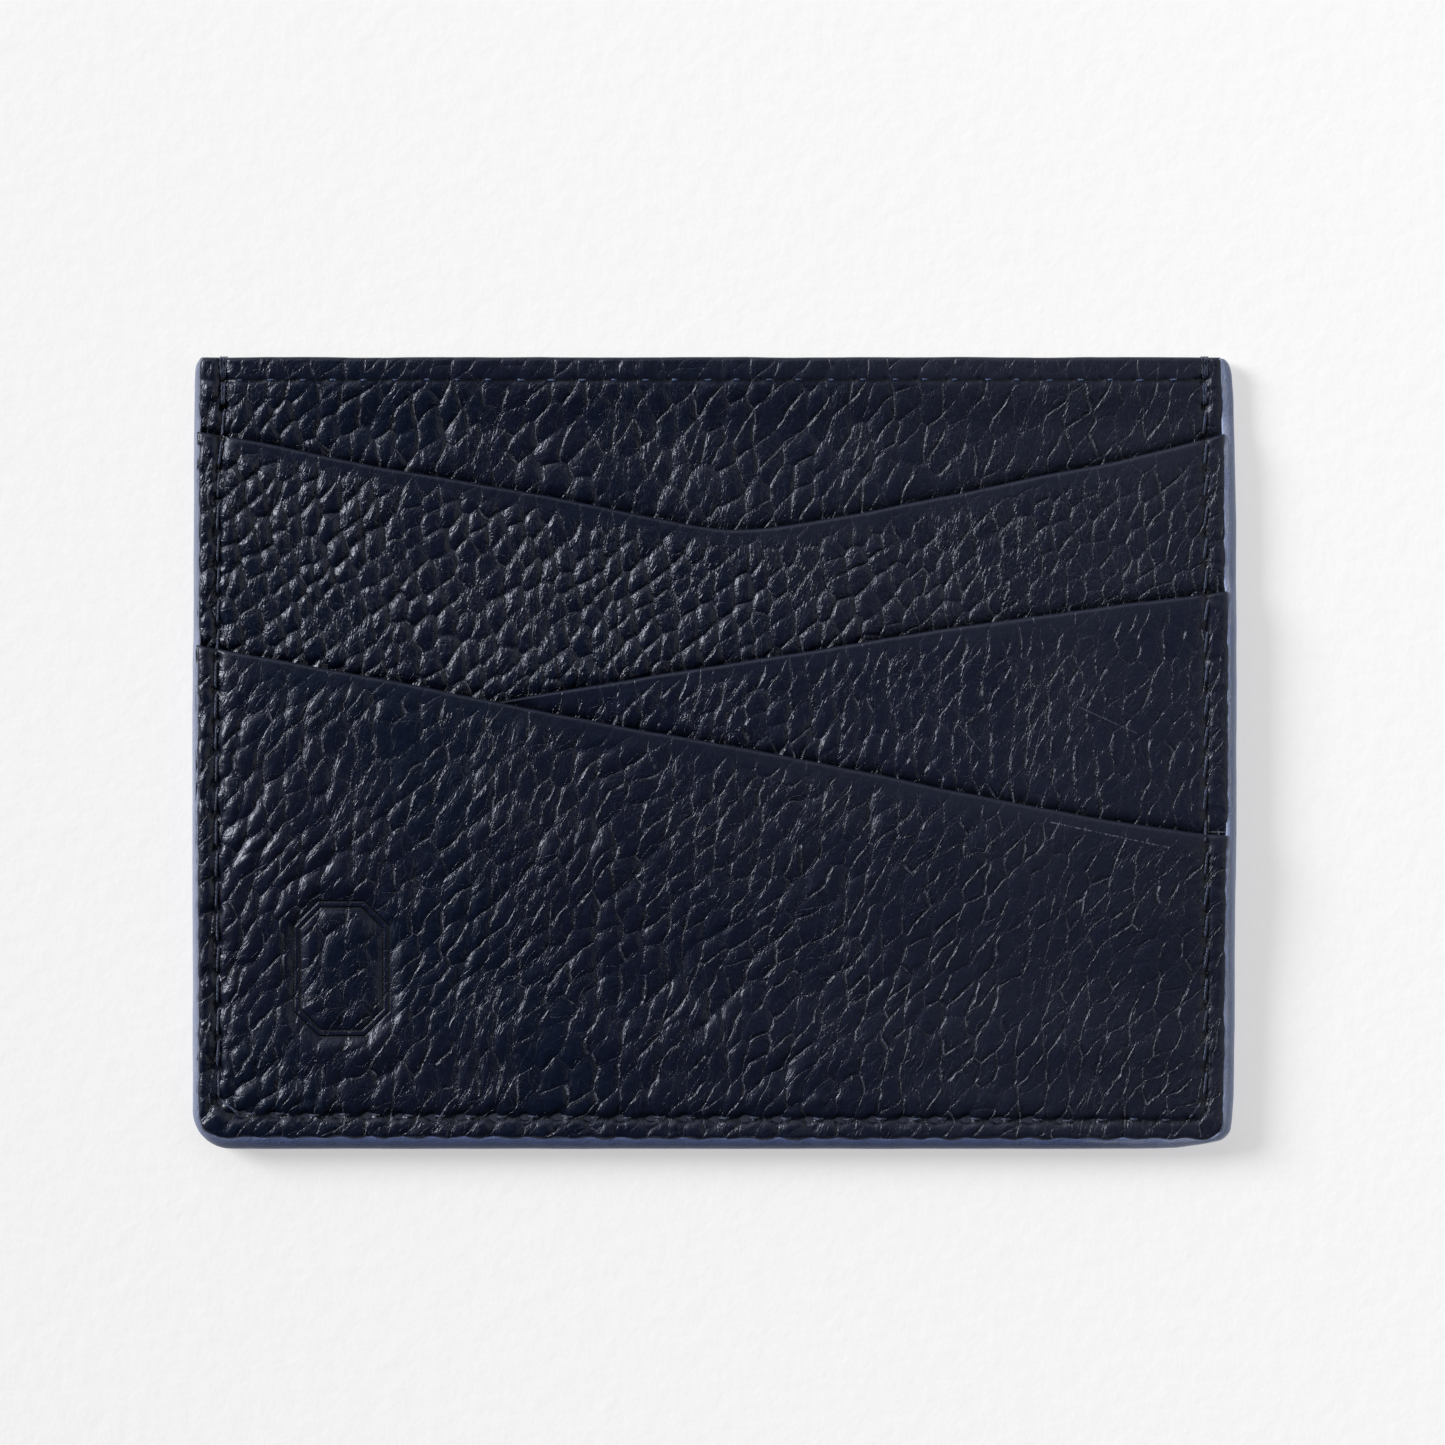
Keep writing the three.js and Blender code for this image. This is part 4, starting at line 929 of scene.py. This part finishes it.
def woven_material(name, warp_c, weft_c, pitch=0.32, rough=0.82):
    m, N, b = principled(name)
    b.inputs["Sheen Weight"].default_value = 0.25
    b.inputs["Specular IOR Level"].default_value = 0.25
    co = N.new("ShaderNodeTexCoord").outputs["Object"]
    co = N.vmath("SCALE", co, scale=1000.0)
    jit = N.vmath("SCALE", N.vmath("SUBTRACT", N.noise(co, 0.5, 2.0, dims="3D").outputs["Color"], (0.5, 0.5, 0.5)), scale=0.35)
    sep = N.new("ShaderNodeSeparateXYZ")
    N.put(sep.inputs[0], N.vmath("ADD", co, jit))
    fx = N.math("SINE", N.math("MULTIPLY", sep.outputs[0], 2 * math.pi / pitch))
    fy = N.math("SINE", N.math("MULTIPLY", sep.outputs[1], 2 * math.pi / pitch))
    over = N.math("GREATER_THAN", N.math("MULTIPLY", fx, fy), 0.0)
    hx = N.math("ABSOLUTE", N.math("COSINE", N.math("MULTIPLY", sep.outputs[0], math.pi / pitch)))
    hy = N.math("ABSOLUTE", N.math("COSINE", N.math("MULTIPLY", sep.outputs[1], math.pi / pitch)))
    h = N.math("ADD", N.math("MULTIPLY", hx, over), N.math("MULTIPLY", hy, N.math("SUBTRACT", 1.0, over)))
    fuzz = N.noise(co, 3.0, 4.0, 0.7, dims="3D").outputs["Fac"]
    col = N.mixc(over, tuple(warp_c) + (1.0,), tuple(weft_c) + (1.0,))
    col = N.mixc(N.ramp(fuzz, 0.2, 0.8, 0.0, 0.5), col, tuple(2.0 * c for c in warp_c) + (1.0,))
    N.put(b.inputs["Base Color"], col)
    N.put(b.inputs["Roughness"], N.ramp(fuzz, 0.0, 1.0, rough - 0.08, rough + 0.08))
    bump = N.new("ShaderNodeBump")
    bump.inputs["Distance"].default_value = 0.00006
    N.put(bump.inputs["Height"], N.math("ADD", h, N.math("MULTIPLY", fuzz, 0.5)))
    N.put(b.inputs["Normal"], bump.outputs[0])
    return m


lining_mat = woven_material("lining_weave", (0.011, 0.012, 0.021), (0.016, 0.018, 0.030))
strip_bottom = lambda x: y_bottom(x) + 0.3
for name, layer, a, b_, node in (
        ("back_pocket_lining", "back_lining", const(TOP - 6.3), strip_bottom, "back_lining"),
        ("front_pocket_lining", "front_lining", const(TOP - 6.3), strip_bottom, "front_lining"),
        ("upper_slot_bag", "upper_lining", lambda x: _u(x) - 6.4, const(-19.6), "upper_slot_lining"),
        ("middle_slot_bag", "middle_lining", lambda x: _m(x) - 6.4, const(-27.6), "middle_slot_lining"),
        ("lower_slot_bag", "lower_lining", lambda x: _l(x) - 6.4, strip_bottom, "lower_slot_lining")):
    ob = lining_sheet(name, layer, a, b_, 0)
    lx = np.linspace(-48.9, 48.5, 160)
    drop = a(lx) - b_(lx)
    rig.sheet(ob, flat=(97.4 * MM, float(np.max(a(lx)) - np.min(b_(lx))) * MM), held="laid", rests_on=[node.replace("lining", "panel")],
             area=float(np.sum((drop[1:] + drop[:-1]) / 2 * np.diff(lx))) * MM * MM)
    ob.data.materials.append(lining_mat)
    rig.ride(ob, "root")
    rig.replaces(ob, node)
    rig.slot(ob, "lining")


# ------------------------------------------------------------------ front surface, for what lies on it
def surface(x, y):
    """Height of the leather that is on top at a point, seams included but not the grain."""
    x, y = np.atleast_1d(np.asarray(x, float)), np.atleast_1d(np.asarray(y, float))
    z = stack(x, y)
    top = np.where(y < lower_mouth(x) - 0.1, z["lower_top"],
                   np.where(y < middle_mouth(x) - 0.1, z["middle_top"],
                            np.where(y < upper_mouth(x) - 0.1, z["upper_top"], z["front_top"])))
    return top


def ease(x, y, r=0.5):
    """The front surface smoothed over the steps at the mouths."""
    return np.mean([surface(x, np.asarray(y) + o) for o in (-r, -r / 2, 0, r / 2, r)], 0)


# ------------------------------------------------------------------ painted edge
def paint_inside(x, y):
    """Distance inwards from the outer contour of the painted edge."""
    left = np.interp(y, [-33, 0, 30, 35.6, 36.6, 37.1, 37.4, 37.6, 37.75],
                     [-50.0, -49.97, -49.9, -49.87, -49.82, -49.72, -49.58, -49.4, -49.2])
    right = np.interp(y, [-37.2, -36.4, -35.0, -33.0, -28, -15, -6, 22, 33.6, 36.2, 36.9, 37.3, 37.55, 37.72],
                      [49.2, 49.42, 49.6, 49.74, 49.82, 49.86, 50.0, 50.0, 49.78, 49.6, 49.45, 49.26, 49.05, 48.8])
    dy = y - np.interp(x, [38.0, 42.0, 44.2, 46.5, 48.4, 49.4], [-38.03, -38.01, -37.92, -37.62, -37.25, -36.96])
    out = dy
    for dx, r in ((x - left, 3.7), (right - x, 0.9)):
        cx, cy = r - dx, r - dy
        c = r - np.hypot(np.maximum(cx, 0), np.maximum(cy, 0))
        out = np.minimum(out, np.where((cx > 0) & (cy > 0), c, np.minimum(dx, dy)))
    return out


def paint_coat():
    pts = []
    cx, cy = -49.36 + CL, -36.95 + CL
    for y in np.concatenate([[37.74, 37.68, 37.58, 37.45, 37.3, 37.12, 36.9], np.arange(36.65, cy, -0.3)]):
        pts.append((float(x_left(np.array(y))), y, -1.0, 0.0))
    for a in np.linspace(180, 270, 22)[1:-1]:
        c, s = math.cos(math.radians(a)), math.sin(math.radians(a))
        pts.append((cx + CL * c, cy + CL * s, c, s))
    for x in np.arange(cx, 48.6 - CR, 0.3):
        pts.append((x, float(y_bottom(np.array(x))), 0.0, -1.0))
    cx, cy = 48.6 - CR, float(y_bottom(np.array(48.6 - CR))) + CR
    for a in np.linspace(270, 360, 14)[1:-1]:
        c, s = math.cos(math.radians(a)), math.sin(math.radians(a))
        pts.append((cx + CR * c, cy + CR * s, c, s))
    for y in np.concatenate([np.arange(cy, 36.8, 0.3), [36.95, 37.15, 37.3, 37.45, 37.58, 37.68]]):
        pts.append((float(x_right(np.array(y))), y, 1.0, 0.0))
    P = np.array(pts)
    k = np.ones(7) / 7
    n = np.stack([np.convolve(np.pad(P[:, 2 + i], 3, mode="edge"), k, "valid") for i in (0, 1)], -1)
    n /= np.hypot(n[:, 0], n[:, 1])[:, None]
    x0, y0 = P[:, 0], P[:, 1]
    w = np.full_like(x0, 0.5)
    for _ in range(40):  # how far out the paint stands, measured along the normal
        w = w + 0.8 * paint_inside(x0 + n[:, 0] * w, y0 + n[:, 1] * w)
    inx = np.clip(x0, -49.0, 48.6)
    zt = ease(inx, y0, 0.6)
    zt = np.convolve(np.pad(zt, 4, mode="edge"), np.ones(9) / 9, "valid") - 0.24
    zb = np.full_like(zt, RIM_LIFT) + 0.12
    m = 20
    rings = []
    s_len = np.concatenate([[0], np.cumsum(np.hypot(np.diff(x0), np.diff(y0)))])
    for i in range(m + 1):
        a = math.pi / 2 - math.pi * i / m
        ca, sa = max(math.cos(a), 0.0) ** 0.85, math.copysign(abs(math.sin(a)), math.sin(a))
        lump = 0.02 * wave(s_len + 3 * i / m, 41, 5.0) + 0.01 * wave(s_len * 1.0 + 1.7 * i, 42, 1.6)
        out = -0.16 + (w + 0.16) * ca + lump * ca
        mid, half = (zt + zb) / 2, (zt - zb) / 2
        rings.append(np.stack([x0 + n[:, 0] * out, y0 + n[:, 1] * out, mid + half * sa], -1))
    V = np.array(rings)  # ring, station
    R, C = V.shape[:2]
    verts = V.reshape(-1, 3)
    s_attr = np.stack([np.broadcast_to(s_len, (R, C)), np.broadcast_to(np.arange(R)[:, None] * 0.28, (R, C)),
                       np.zeros((R, C))], -1).reshape(-1, 3)
    quads = grid_quads(R, C, loop_rows=True)
    a = [r * C for r in range(R)]
    b = [r * C + C - 1 for r in range(R)]
    return collect("edge_paint", verts, quads, [a, b[::-1]], {"rest": s_attr})


def paint_material():
    m, N, b = principled("edge_paint")
    b.inputs["Specular IOR Level"].default_value = 0.3
    b.inputs["Coat Weight"].default_value = 0.04
    b.inputs["Coat Roughness"].default_value = 0.35
    rest = N.new("ShaderNodeAttribute", attribute_name="rest").outputs["Vector"]
    big = N.noise(rest, 0.25, 3.0).outputs["Fac"]
    fine = N.noise(rest, 2.6, 4.0, 0.6).outputs["Fac"]
    col = N.mixc(N.ramp(big, 0.3, 0.7), (0.140, 0.162, 0.238, 1), (0.156, 0.178, 0.254, 1))
    col = N.mixc(N.ramp(fine, 0.62, 0.8, 0.0, 0.35), col, (0.075, 0.090, 0.150, 1))
    sp = N.new("ShaderNodeSeparateXYZ")
    N.put(sp.inputs[0], rest)
    way = sp.outputs[0]  # length run along the edge, mm
    # painted light and shade by side: the edge paint colour is raised along the left and right sides and lowered and
    # made bluer along the bottom, to match how the light falls on each side
    painted_side_light = N.mixc(N.ramp(way, 5.0, 50.0), (1.36, 1.35, 1.33, 1), (1.50, 1.47, 1.43, 1))
    painted_side_light = N.mixc(N.ramp(way, 66.0, 82.0), painted_side_light, (0.50, 0.59, 0.86, 1))
    painted_side_light = N.mixc(N.ramp(way, 158.0, 172.0), painted_side_light, (1.70, 1.79, 1.92, 1))
    col = N.mixc(1.0, col, painted_side_light, blend="MULTIPLY")
    # painted highlight: a pale line near the top inner edge of the paint, from the bottom right corner up the right
    # side, standing in for the glint at the leather boundary
    rim = N.math("ABSOLUTE", N.math("SUBTRACT", sp.outputs[1], 0.5))
    rim = N.math("MULTIPLY", N.ramp(rim, 0.05, 0.30, 1.0, 0.0), N.ramp(way, 150.0, 172.0))
    rim = N.math("MULTIPLY", rim, N.ramp(N.noise(rest, 0.22, 2.0).outputs["Fac"], 0.45, 0.58))
    col = N.mixc(N.math("MULTIPLY", rim, 0.65), col, (0.33, 0.35, 0.42, 1))
    N.put(b.inputs["Base Color"], col)
    N.put(b.inputs["Roughness"], N.ramp(fine, 0.2, 0.8, 0.36, 0.52))
    bump = N.new("ShaderNodeBump")
    bump.inputs["Distance"].default_value = 0.00008
    streak = N.noise(N.vmath("MULTIPLY", rest, (0.5, 5.0, 1.0)), 1.0, 3.0).outputs["Fac"]
    N.put(bump.inputs["Height"], N.math("ADD", fine, N.math("MULTIPLY", streak, 0.6)))
    N.put(b.inputs["Normal"], bump.outputs[0])
    return m


coat = paint_coat()
coat.data.materials.append(paint_material())
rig.ride(coat, "root")
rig.replaces(coat, "edge_coat")
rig.slot(coat, "edge_paint")


# ------------------------------------------------------------------ threads
def strand(points, radius, ups, plies=3, turns=2.2, sides=7, taper=0.25, phase=0.0):
    """Twisted plies round a centre line. points and ups are (n, 3)."""
    n = len(points)
    t = np.gradient(points, axis=0)
    t /= np.linalg.norm(t, axis=1)[:, None]
    side = np.cross(t, ups)
    side /= np.linalg.norm(side, axis=1)[:, None]
    up = np.cross(side, t)
    f = np.linspace(0, 1, n)
    prof = np.clip(np.minimum(f, 1 - f) / 0.12, 0, 1) ** 0.5 * (1 - taper) + taper
    verts, quads, ngons = [], [], []
    base = 0
    for p in range(plies):
        a = phase + 2 * math.pi * (p / plies + turns * f)
        c = points + radius * 0.52 * prof[:, None] * (np.cos(a)[:, None] * side + np.sin(a)[:, None] * up)
        r = radius * 0.56 * prof
        ring = np.linspace(0, 2 * math.pi, sides, endpoint=False)
        v = c[:, None, :] + r[:, None, None] * (np.cos(ring)[None, :, None] * side[:, None, :] + np.sin(ring)[None, :, None] * up[:, None, :])
        verts.append(v.reshape(-1, 3))
        i, j = np.meshgrid(np.arange(n - 1), np.arange(sides), indexing="ij")
        q = np.stack([base + i * sides + j, base + (i + 1) * sides + j, base + (i + 1) * sides + (j + 1) % sides,
                      base + i * sides + (j + 1) % sides], -1).reshape(-1, 4)
        quads.append(q)
        ngons.append([base + k for k in range(sides)])
        ngons.append([base + (n - 1) * sides + k for k in range(sides)][::-1])
        base += n * sides
    return np.concatenate(verts), np.concatenate(quads), ngons


class Bundle:
    def __init__(self):
        self.v, self.q, self.n, self.rest, self.base = [], [], [], [], 0

    def add(self, v, q, n, rest):
        self.v.append(v)
        self.q.append(q + self.base)
        self.n += [[k + self.base for k in g] for g in n]
        self.rest.append(rest)
        self.base += len(v)

    def make(self, name):
        v = np.concatenate(self.v)
        return collect(name, v, np.concatenate(self.q), self.n, {"rest": np.concatenate(self.rest)})


def run_of_stitches(name, holes, height, radius, arch, dive, slant, side=1.0, seg=16, down=False, peak=False):
    """Stitches from hole to hole. The shape values and peak may be functions of the middle of the stitch."""
    B = Bundle()
    at = lambda v, p: v(p) if callable(v) else v
    for k in range(len(holes) - 1):
        a, b = holes[k], holes[k + 1]
        d = b - a
        L = np.hypot(*d)
        mid = (a + b) / 2
        nrm = np.array([-d[1], d[0]]) / L * side
        t = np.linspace(0, 1, seg)
        off = at(slant, mid) * (0.5 - t) * (1 + 0.25 * rng.standard_normal())
        m = 0.12 if mid[0] > 46.3 else 0.07
        xy = a[None, :] + d[None, :] * (m + (1 - 2 * m) * t[:, None]) + nrm[None, :] * off[:, None]
        e = np.clip(np.minimum(t, 1 - t) / 0.16, 0, 1)
        if at(peak, mid):
            e = np.exp(-((t - 0.22 - 0.05 * rng.standard_normal()) / 0.11) ** 2)
        rise = at(arch, mid) * (1 + 0.12 * rng.standard_normal())
        h = height(xy[:, 0], xy[:, 1])
        z = h + (-1 if down else 1) * (rise * (e ** 0.6) - at(dive, mid) * (1 - e) ** 1.5)
        pts = np.column_stack([xy, z])
        up = np.tile([0, 0, -1.0 if down else 1.0], (seg, 1))
        v, q, n = strand(pts, at(radius, mid) * (1 + 0.06 * rng.standard_normal()), up, phase=rng.uniform(0, 6.28))
        B.add(v, q, n, np.column_stack([v[:, 0] * 0 + k * 5.3 + (v[:, 0] - a[0]) + (v[:, 1] - a[1]), v[:, 2], 0 * v[:, 0]]))
    return B.make(name)


def thread_material(name, dark, pale):
    m, N, b = principled(name)
    b.inputs["Sheen Weight"].default_value = 0.35
    b.inputs["Sheen Roughness"].default_value = 0.4
    b.inputs["Specular IOR Level"].default_value = 0.5
    rest = N.new("ShaderNodeAttribute", attribute_name="rest").outputs["Vector"]
    f = N.noise(rest, 2.2, 3.0).outputs["Fac"]
    fib = N.noise(N.vmath("MULTIPLY", rest, (1.0, 9.0, 1.0)), 3.0, 3.0).outputs["Fac"]
    col = N.mixc(N.ramp(f, 0.3, 0.7), dark, pale)
    N.put(b.inputs["Base Color"], col)
    N.put(b.inputs["Roughness"], N.ramp(fib, 0.2, 0.8, 0.32, 0.55))
    bump = N.new("ShaderNodeBump")
    bump.inputs["Distance"].default_value = 0.00004
    N.put(bump.inputs["Height"], fib)
    N.put(b.inputs["Normal"], bump.outputs[0])
    return m


def seam_height(x, y):
    return ease(x, y, 0.45) - 0.16


def finish_thread(ob, node, slot="thread", mat=None):
    ob.data.materials.append(mat or THREAD_MAT)
    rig.ride(ob, "root")
    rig.replaces(ob, node)
    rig.slot(ob, slot)


THREAD_MAT = thread_material("thread", (0.010, 0.016, 0.040, 1), (0.036, 0.056, 0.120, 1))
# lighter, bluer copy of the thread colour for the hem, painted so that the short visible bits read as glints
HEM_MAT = thread_material("hem_thread", (0.028, 0.050, 0.135, 1), (0.088, 0.14, 0.30, 1))
on_right = lambda p: p[0] > 46.3
on_bottom = lambda p: p[1] < -34.0
finish_thread(run_of_stitches("side_and_bottom_stitches", HOLES, seam_height,
                              lambda p: 0.15 if on_right(p) else (0.11 if on_bottom(p) else 0.12),
                              lambda p: 0.12 if on_right(p) else (0.31 if on_bottom(p) else 0.07),
                              lambda p: 0.30 if on_bottom(p) else 0.32,
                              lambda p: 0.34 if on_right(p) else 0.14, peak=on_bottom),
              "perimeter_thread_front")
finish_thread(run_of_stitches("back_side_and_bottom_stitches", HOLES,
                              lambda x, y: z_back(x, y) + 0.20, 0.17, 0.12, 0.3, 0.14, down=True), "perimeter_thread_back")
finish_thread(run_of_stitches("front_hem_stitches", HEM_HOLES, lambda x, y: ease(x, y, 0.1) - 0.13, 0.088, 0.18, 0.10, 0.05, peak=True),
              "front_hem_thread", mat=HEM_MAT)
finish_thread(run_of_stitches("back_hem_stitches", HEM_HOLES, lambda x, y: z_back(x, y) + 0.22, 0.15, 0.1, 0.25, 0.08,
                              down=True), "back_hem_thread")
for name, y, layer in (("upper_slot_seam_thread", -18.9, "upper_lining"), ("middle_slot_seam_thread", -26.9, "middle_lining")):
    holes = np.stack([np.linspace(-43, 43, 29), np.full(29, y)], -1)
    finish_thread(run_of_stitches(name + "_twist", holes, lambda x, yy, layer=layer: stack(x, yy)[layer] + LINING + 0.02,
                                  0.1, 0.1, 0.05, 0.06, seg=8), name, "hidden_thread")


def end_wraps(name, x, sgn):
    """Passes of thread over the top edge that close the centre pocket, and the two stitches below them."""
    B = Bundle()
    zt = float(surface(x, 36.5)[0])
    zb = RIM_LIFT
    count = 0

    def lay(pts, r, turns, n):
        nonlocal count
        p = np.array(pts, float)
        s = np.concatenate([[0], np.cumsum(np.linalg.norm(np.diff(p, axis=0), axis=1))])
        q = np.linspace(0, s[-1], n)
        p = np.stack([np.interp(q, s, p[:, i]) for i in range(3)], -1)
        up = p - np.array([x, 35.0, (zt + zb) / 2])
        up[:, 0] = 0
        up /= np.linalg.norm(up, axis=1)[:, None]
        v, qd, g = strand(p, r, up, plies=2, turns=turns, phase=count * 2.0)
        B.add(v, qd, g, np.column_stack([v[:, 0] * 0 + count * 7, v[:, 1], v[:, 2]]))
        count += 1

    for dx in (-0.27, 0.0, 0.26):
        lo = 35.7 + 0.1 * abs(dx)
        pts = []
        for t in np.linspace(0, 1, 8):
            pts.append((x + dx * (0.55 + 0.45 * t), lo + (37.2 - lo) * t, zt - 0.04 - 0.30 * (1 - min(t / 0.3, 1)) ** 2 - 0.12 * t ** 3))
        for a in np.linspace(74, -74, 11):
            r = (zt - zb) / 2 + 0.02
            pts.append((x + dx, 37.42 + 0.42 * math.cos(math.radians(a)) ** 0.7, (zt + zb) / 2 + r * math.sin(math.radians(a))))
        for t in np.linspace(1, 0, 8):
            pts.append((x + dx * (0.55 + 0.45 * t), lo + (37.2 - lo) * t, zb + 0.10 + 0.26 * (1 - min(t / 0.25, 1)) ** 2))
        lay(pts, 0.12, 4, 50)
    for dx in (-0.16, 0.14):
        pts = [(x + dx * 0.7 + 0.1 * dx * math.sin(5 * t), 35.45 - 2.2 * t, zt - 0.10 - 0.30 * (1 - min(min(t, 1 - t) / 0.2, 1)) ** 2)
               for t in np.linspace(0, 1, 14)]
        lay(pts, 0.12, 2, 16)
    return B.make(name)


finish_thread(end_wraps("left_end_wraps", -47.05, -1), "left_end_backstitch")
finish_thread(end_wraps("right_end_wraps", 46.98, 1), "right_end_backstitch")

# ------------------------------------------------------------------ floor, light, camera
me = bpy.data.meshes.new("floor")
me.from_pydata([(-1.5, -1.5, 0), (1.5, -1.5, 0), (1.5, 1.5, 0), (-1.5, 1.5, 0)], [], [(0, 1, 2, 3)])
floor = bpy.data.objects.new("floor", me)
scene.collection.objects.link(floor)
fm, FN, fb = principled("floor_paper", Roughness=0.9)
fb.inputs["Specular IOR Level"].default_value = 0.1
# the floor glows as well as reflecting the lamps, a painted light that lifts its shadows, and the glow is painted
# brighter toward +x +y as a falloff of light
fb.inputs["Emission Strength"].default_value = 0.555
fco = FN.vmath("SCALE", FN.new("ShaderNodeTexCoord").outputs["Object"], scale=1000.0)
fn = FN.noise(fco, 0.5, 4.0, 0.6, dims="3D").outputs["Fac"]
FN.put(fb.inputs["Base Color"], FN.mixc(FN.ramp(fn, 0.3, 0.7), (0.495, 0.492, 0.491, 1), (0.503, 0.500, 0.499, 1)))
sweep = FN.vmath("DOT_PRODUCT", fco, (1.0, 1.0, 0.0))
FN.put(fb.inputs["Emission Color"], FN.mixc(FN.ramp(sweep, -130.0, 130.0, smooth=False), (0.875, 0.869, 0.869, 1), (0.995, 0.990, 0.990, 1)))
fbump = FN.new("ShaderNodeBump")
fbump.inputs["Distance"].default_value = 0.0001
FN.put(fbump.inputs["Height"], fn)
FN.put(fb.inputs["Normal"], fbump.outputs[0])
floor.data.materials.append(fm)
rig.stage(floor)


def sun(name, direction, strength, angle, color=(1, 1, 1)):
    """direction points from the object to the light."""
    from mathutils import Vector
    l = bpy.data.lights.new(name, "SUN")
    l.energy = strength
    l.angle = math.radians(angle)
    l.color = color
    o = bpy.data.objects.new(name, l)
    o.rotation_euler = Vector(direction).to_track_quat("Z", "Y").to_euler()
    scene.collection.objects.link(o)
    return o


sun("key_left", (-0.80, 0.36, 0.48), 3.5, 26)
sun("fill_top", (-0.25, 0.80, 0.60), 0.42, 50)
sun("fill_right", (0.75, 0.10, 0.65), 0.34, 60)
w = scene.world or bpy.data.worlds.new("World")
scene.world = w
w.use_nodes = True
W = Nodes(w.node_tree)
bg = w.node_tree.nodes["Background"]
wz = W.new("ShaderNodeSeparateXYZ")
W.put(wz.inputs[0], W.new("ShaderNodeTexCoord").outputs["Generated"])
W.put(bg.inputs["Strength"], W.math("MULTIPLY", W.ramp(wz.outputs[2], 0.70, 0.97, 0.27, 0.03),
                                    W.ramp(wz.outputs[1], -0.6, 0.4, 0.12, 1.1)))
bg.inputs["Color"].default_value = (0.985, 0.985, 1.0, 1)

cam = bpy.data.cameras.new("camera")
cam.sensor_width = 36
cam.sensor_fit = "HORIZONTAL"
DIST = 600.0
cam.lens = 36 * DIST / 138.01
cam.clip_start, cam.clip_end = 0.01, 10
camera = bpy.data.objects.new("camera", cam)
camera.location = (0.76 * MM, 2.82 * MM, (DIST + 4.0) * MM)
camera.rotation_euler = (0, 0, 0)
scene.collection.objects.link(camera)
scene.camera = camera
scene.view_settings.view_transform = "Standard"
scene.view_settings.look = "None"
scene.view_settings.exposure = 0.0
scene.view_settings.gamma = 1.0

try:
    now = [list(map(float, v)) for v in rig.bounds()]
    with open("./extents.json", "w") as fh:
        json.dump({"cad": CAD_BOX, "visual": now}, fh)
except OSError:
    pass
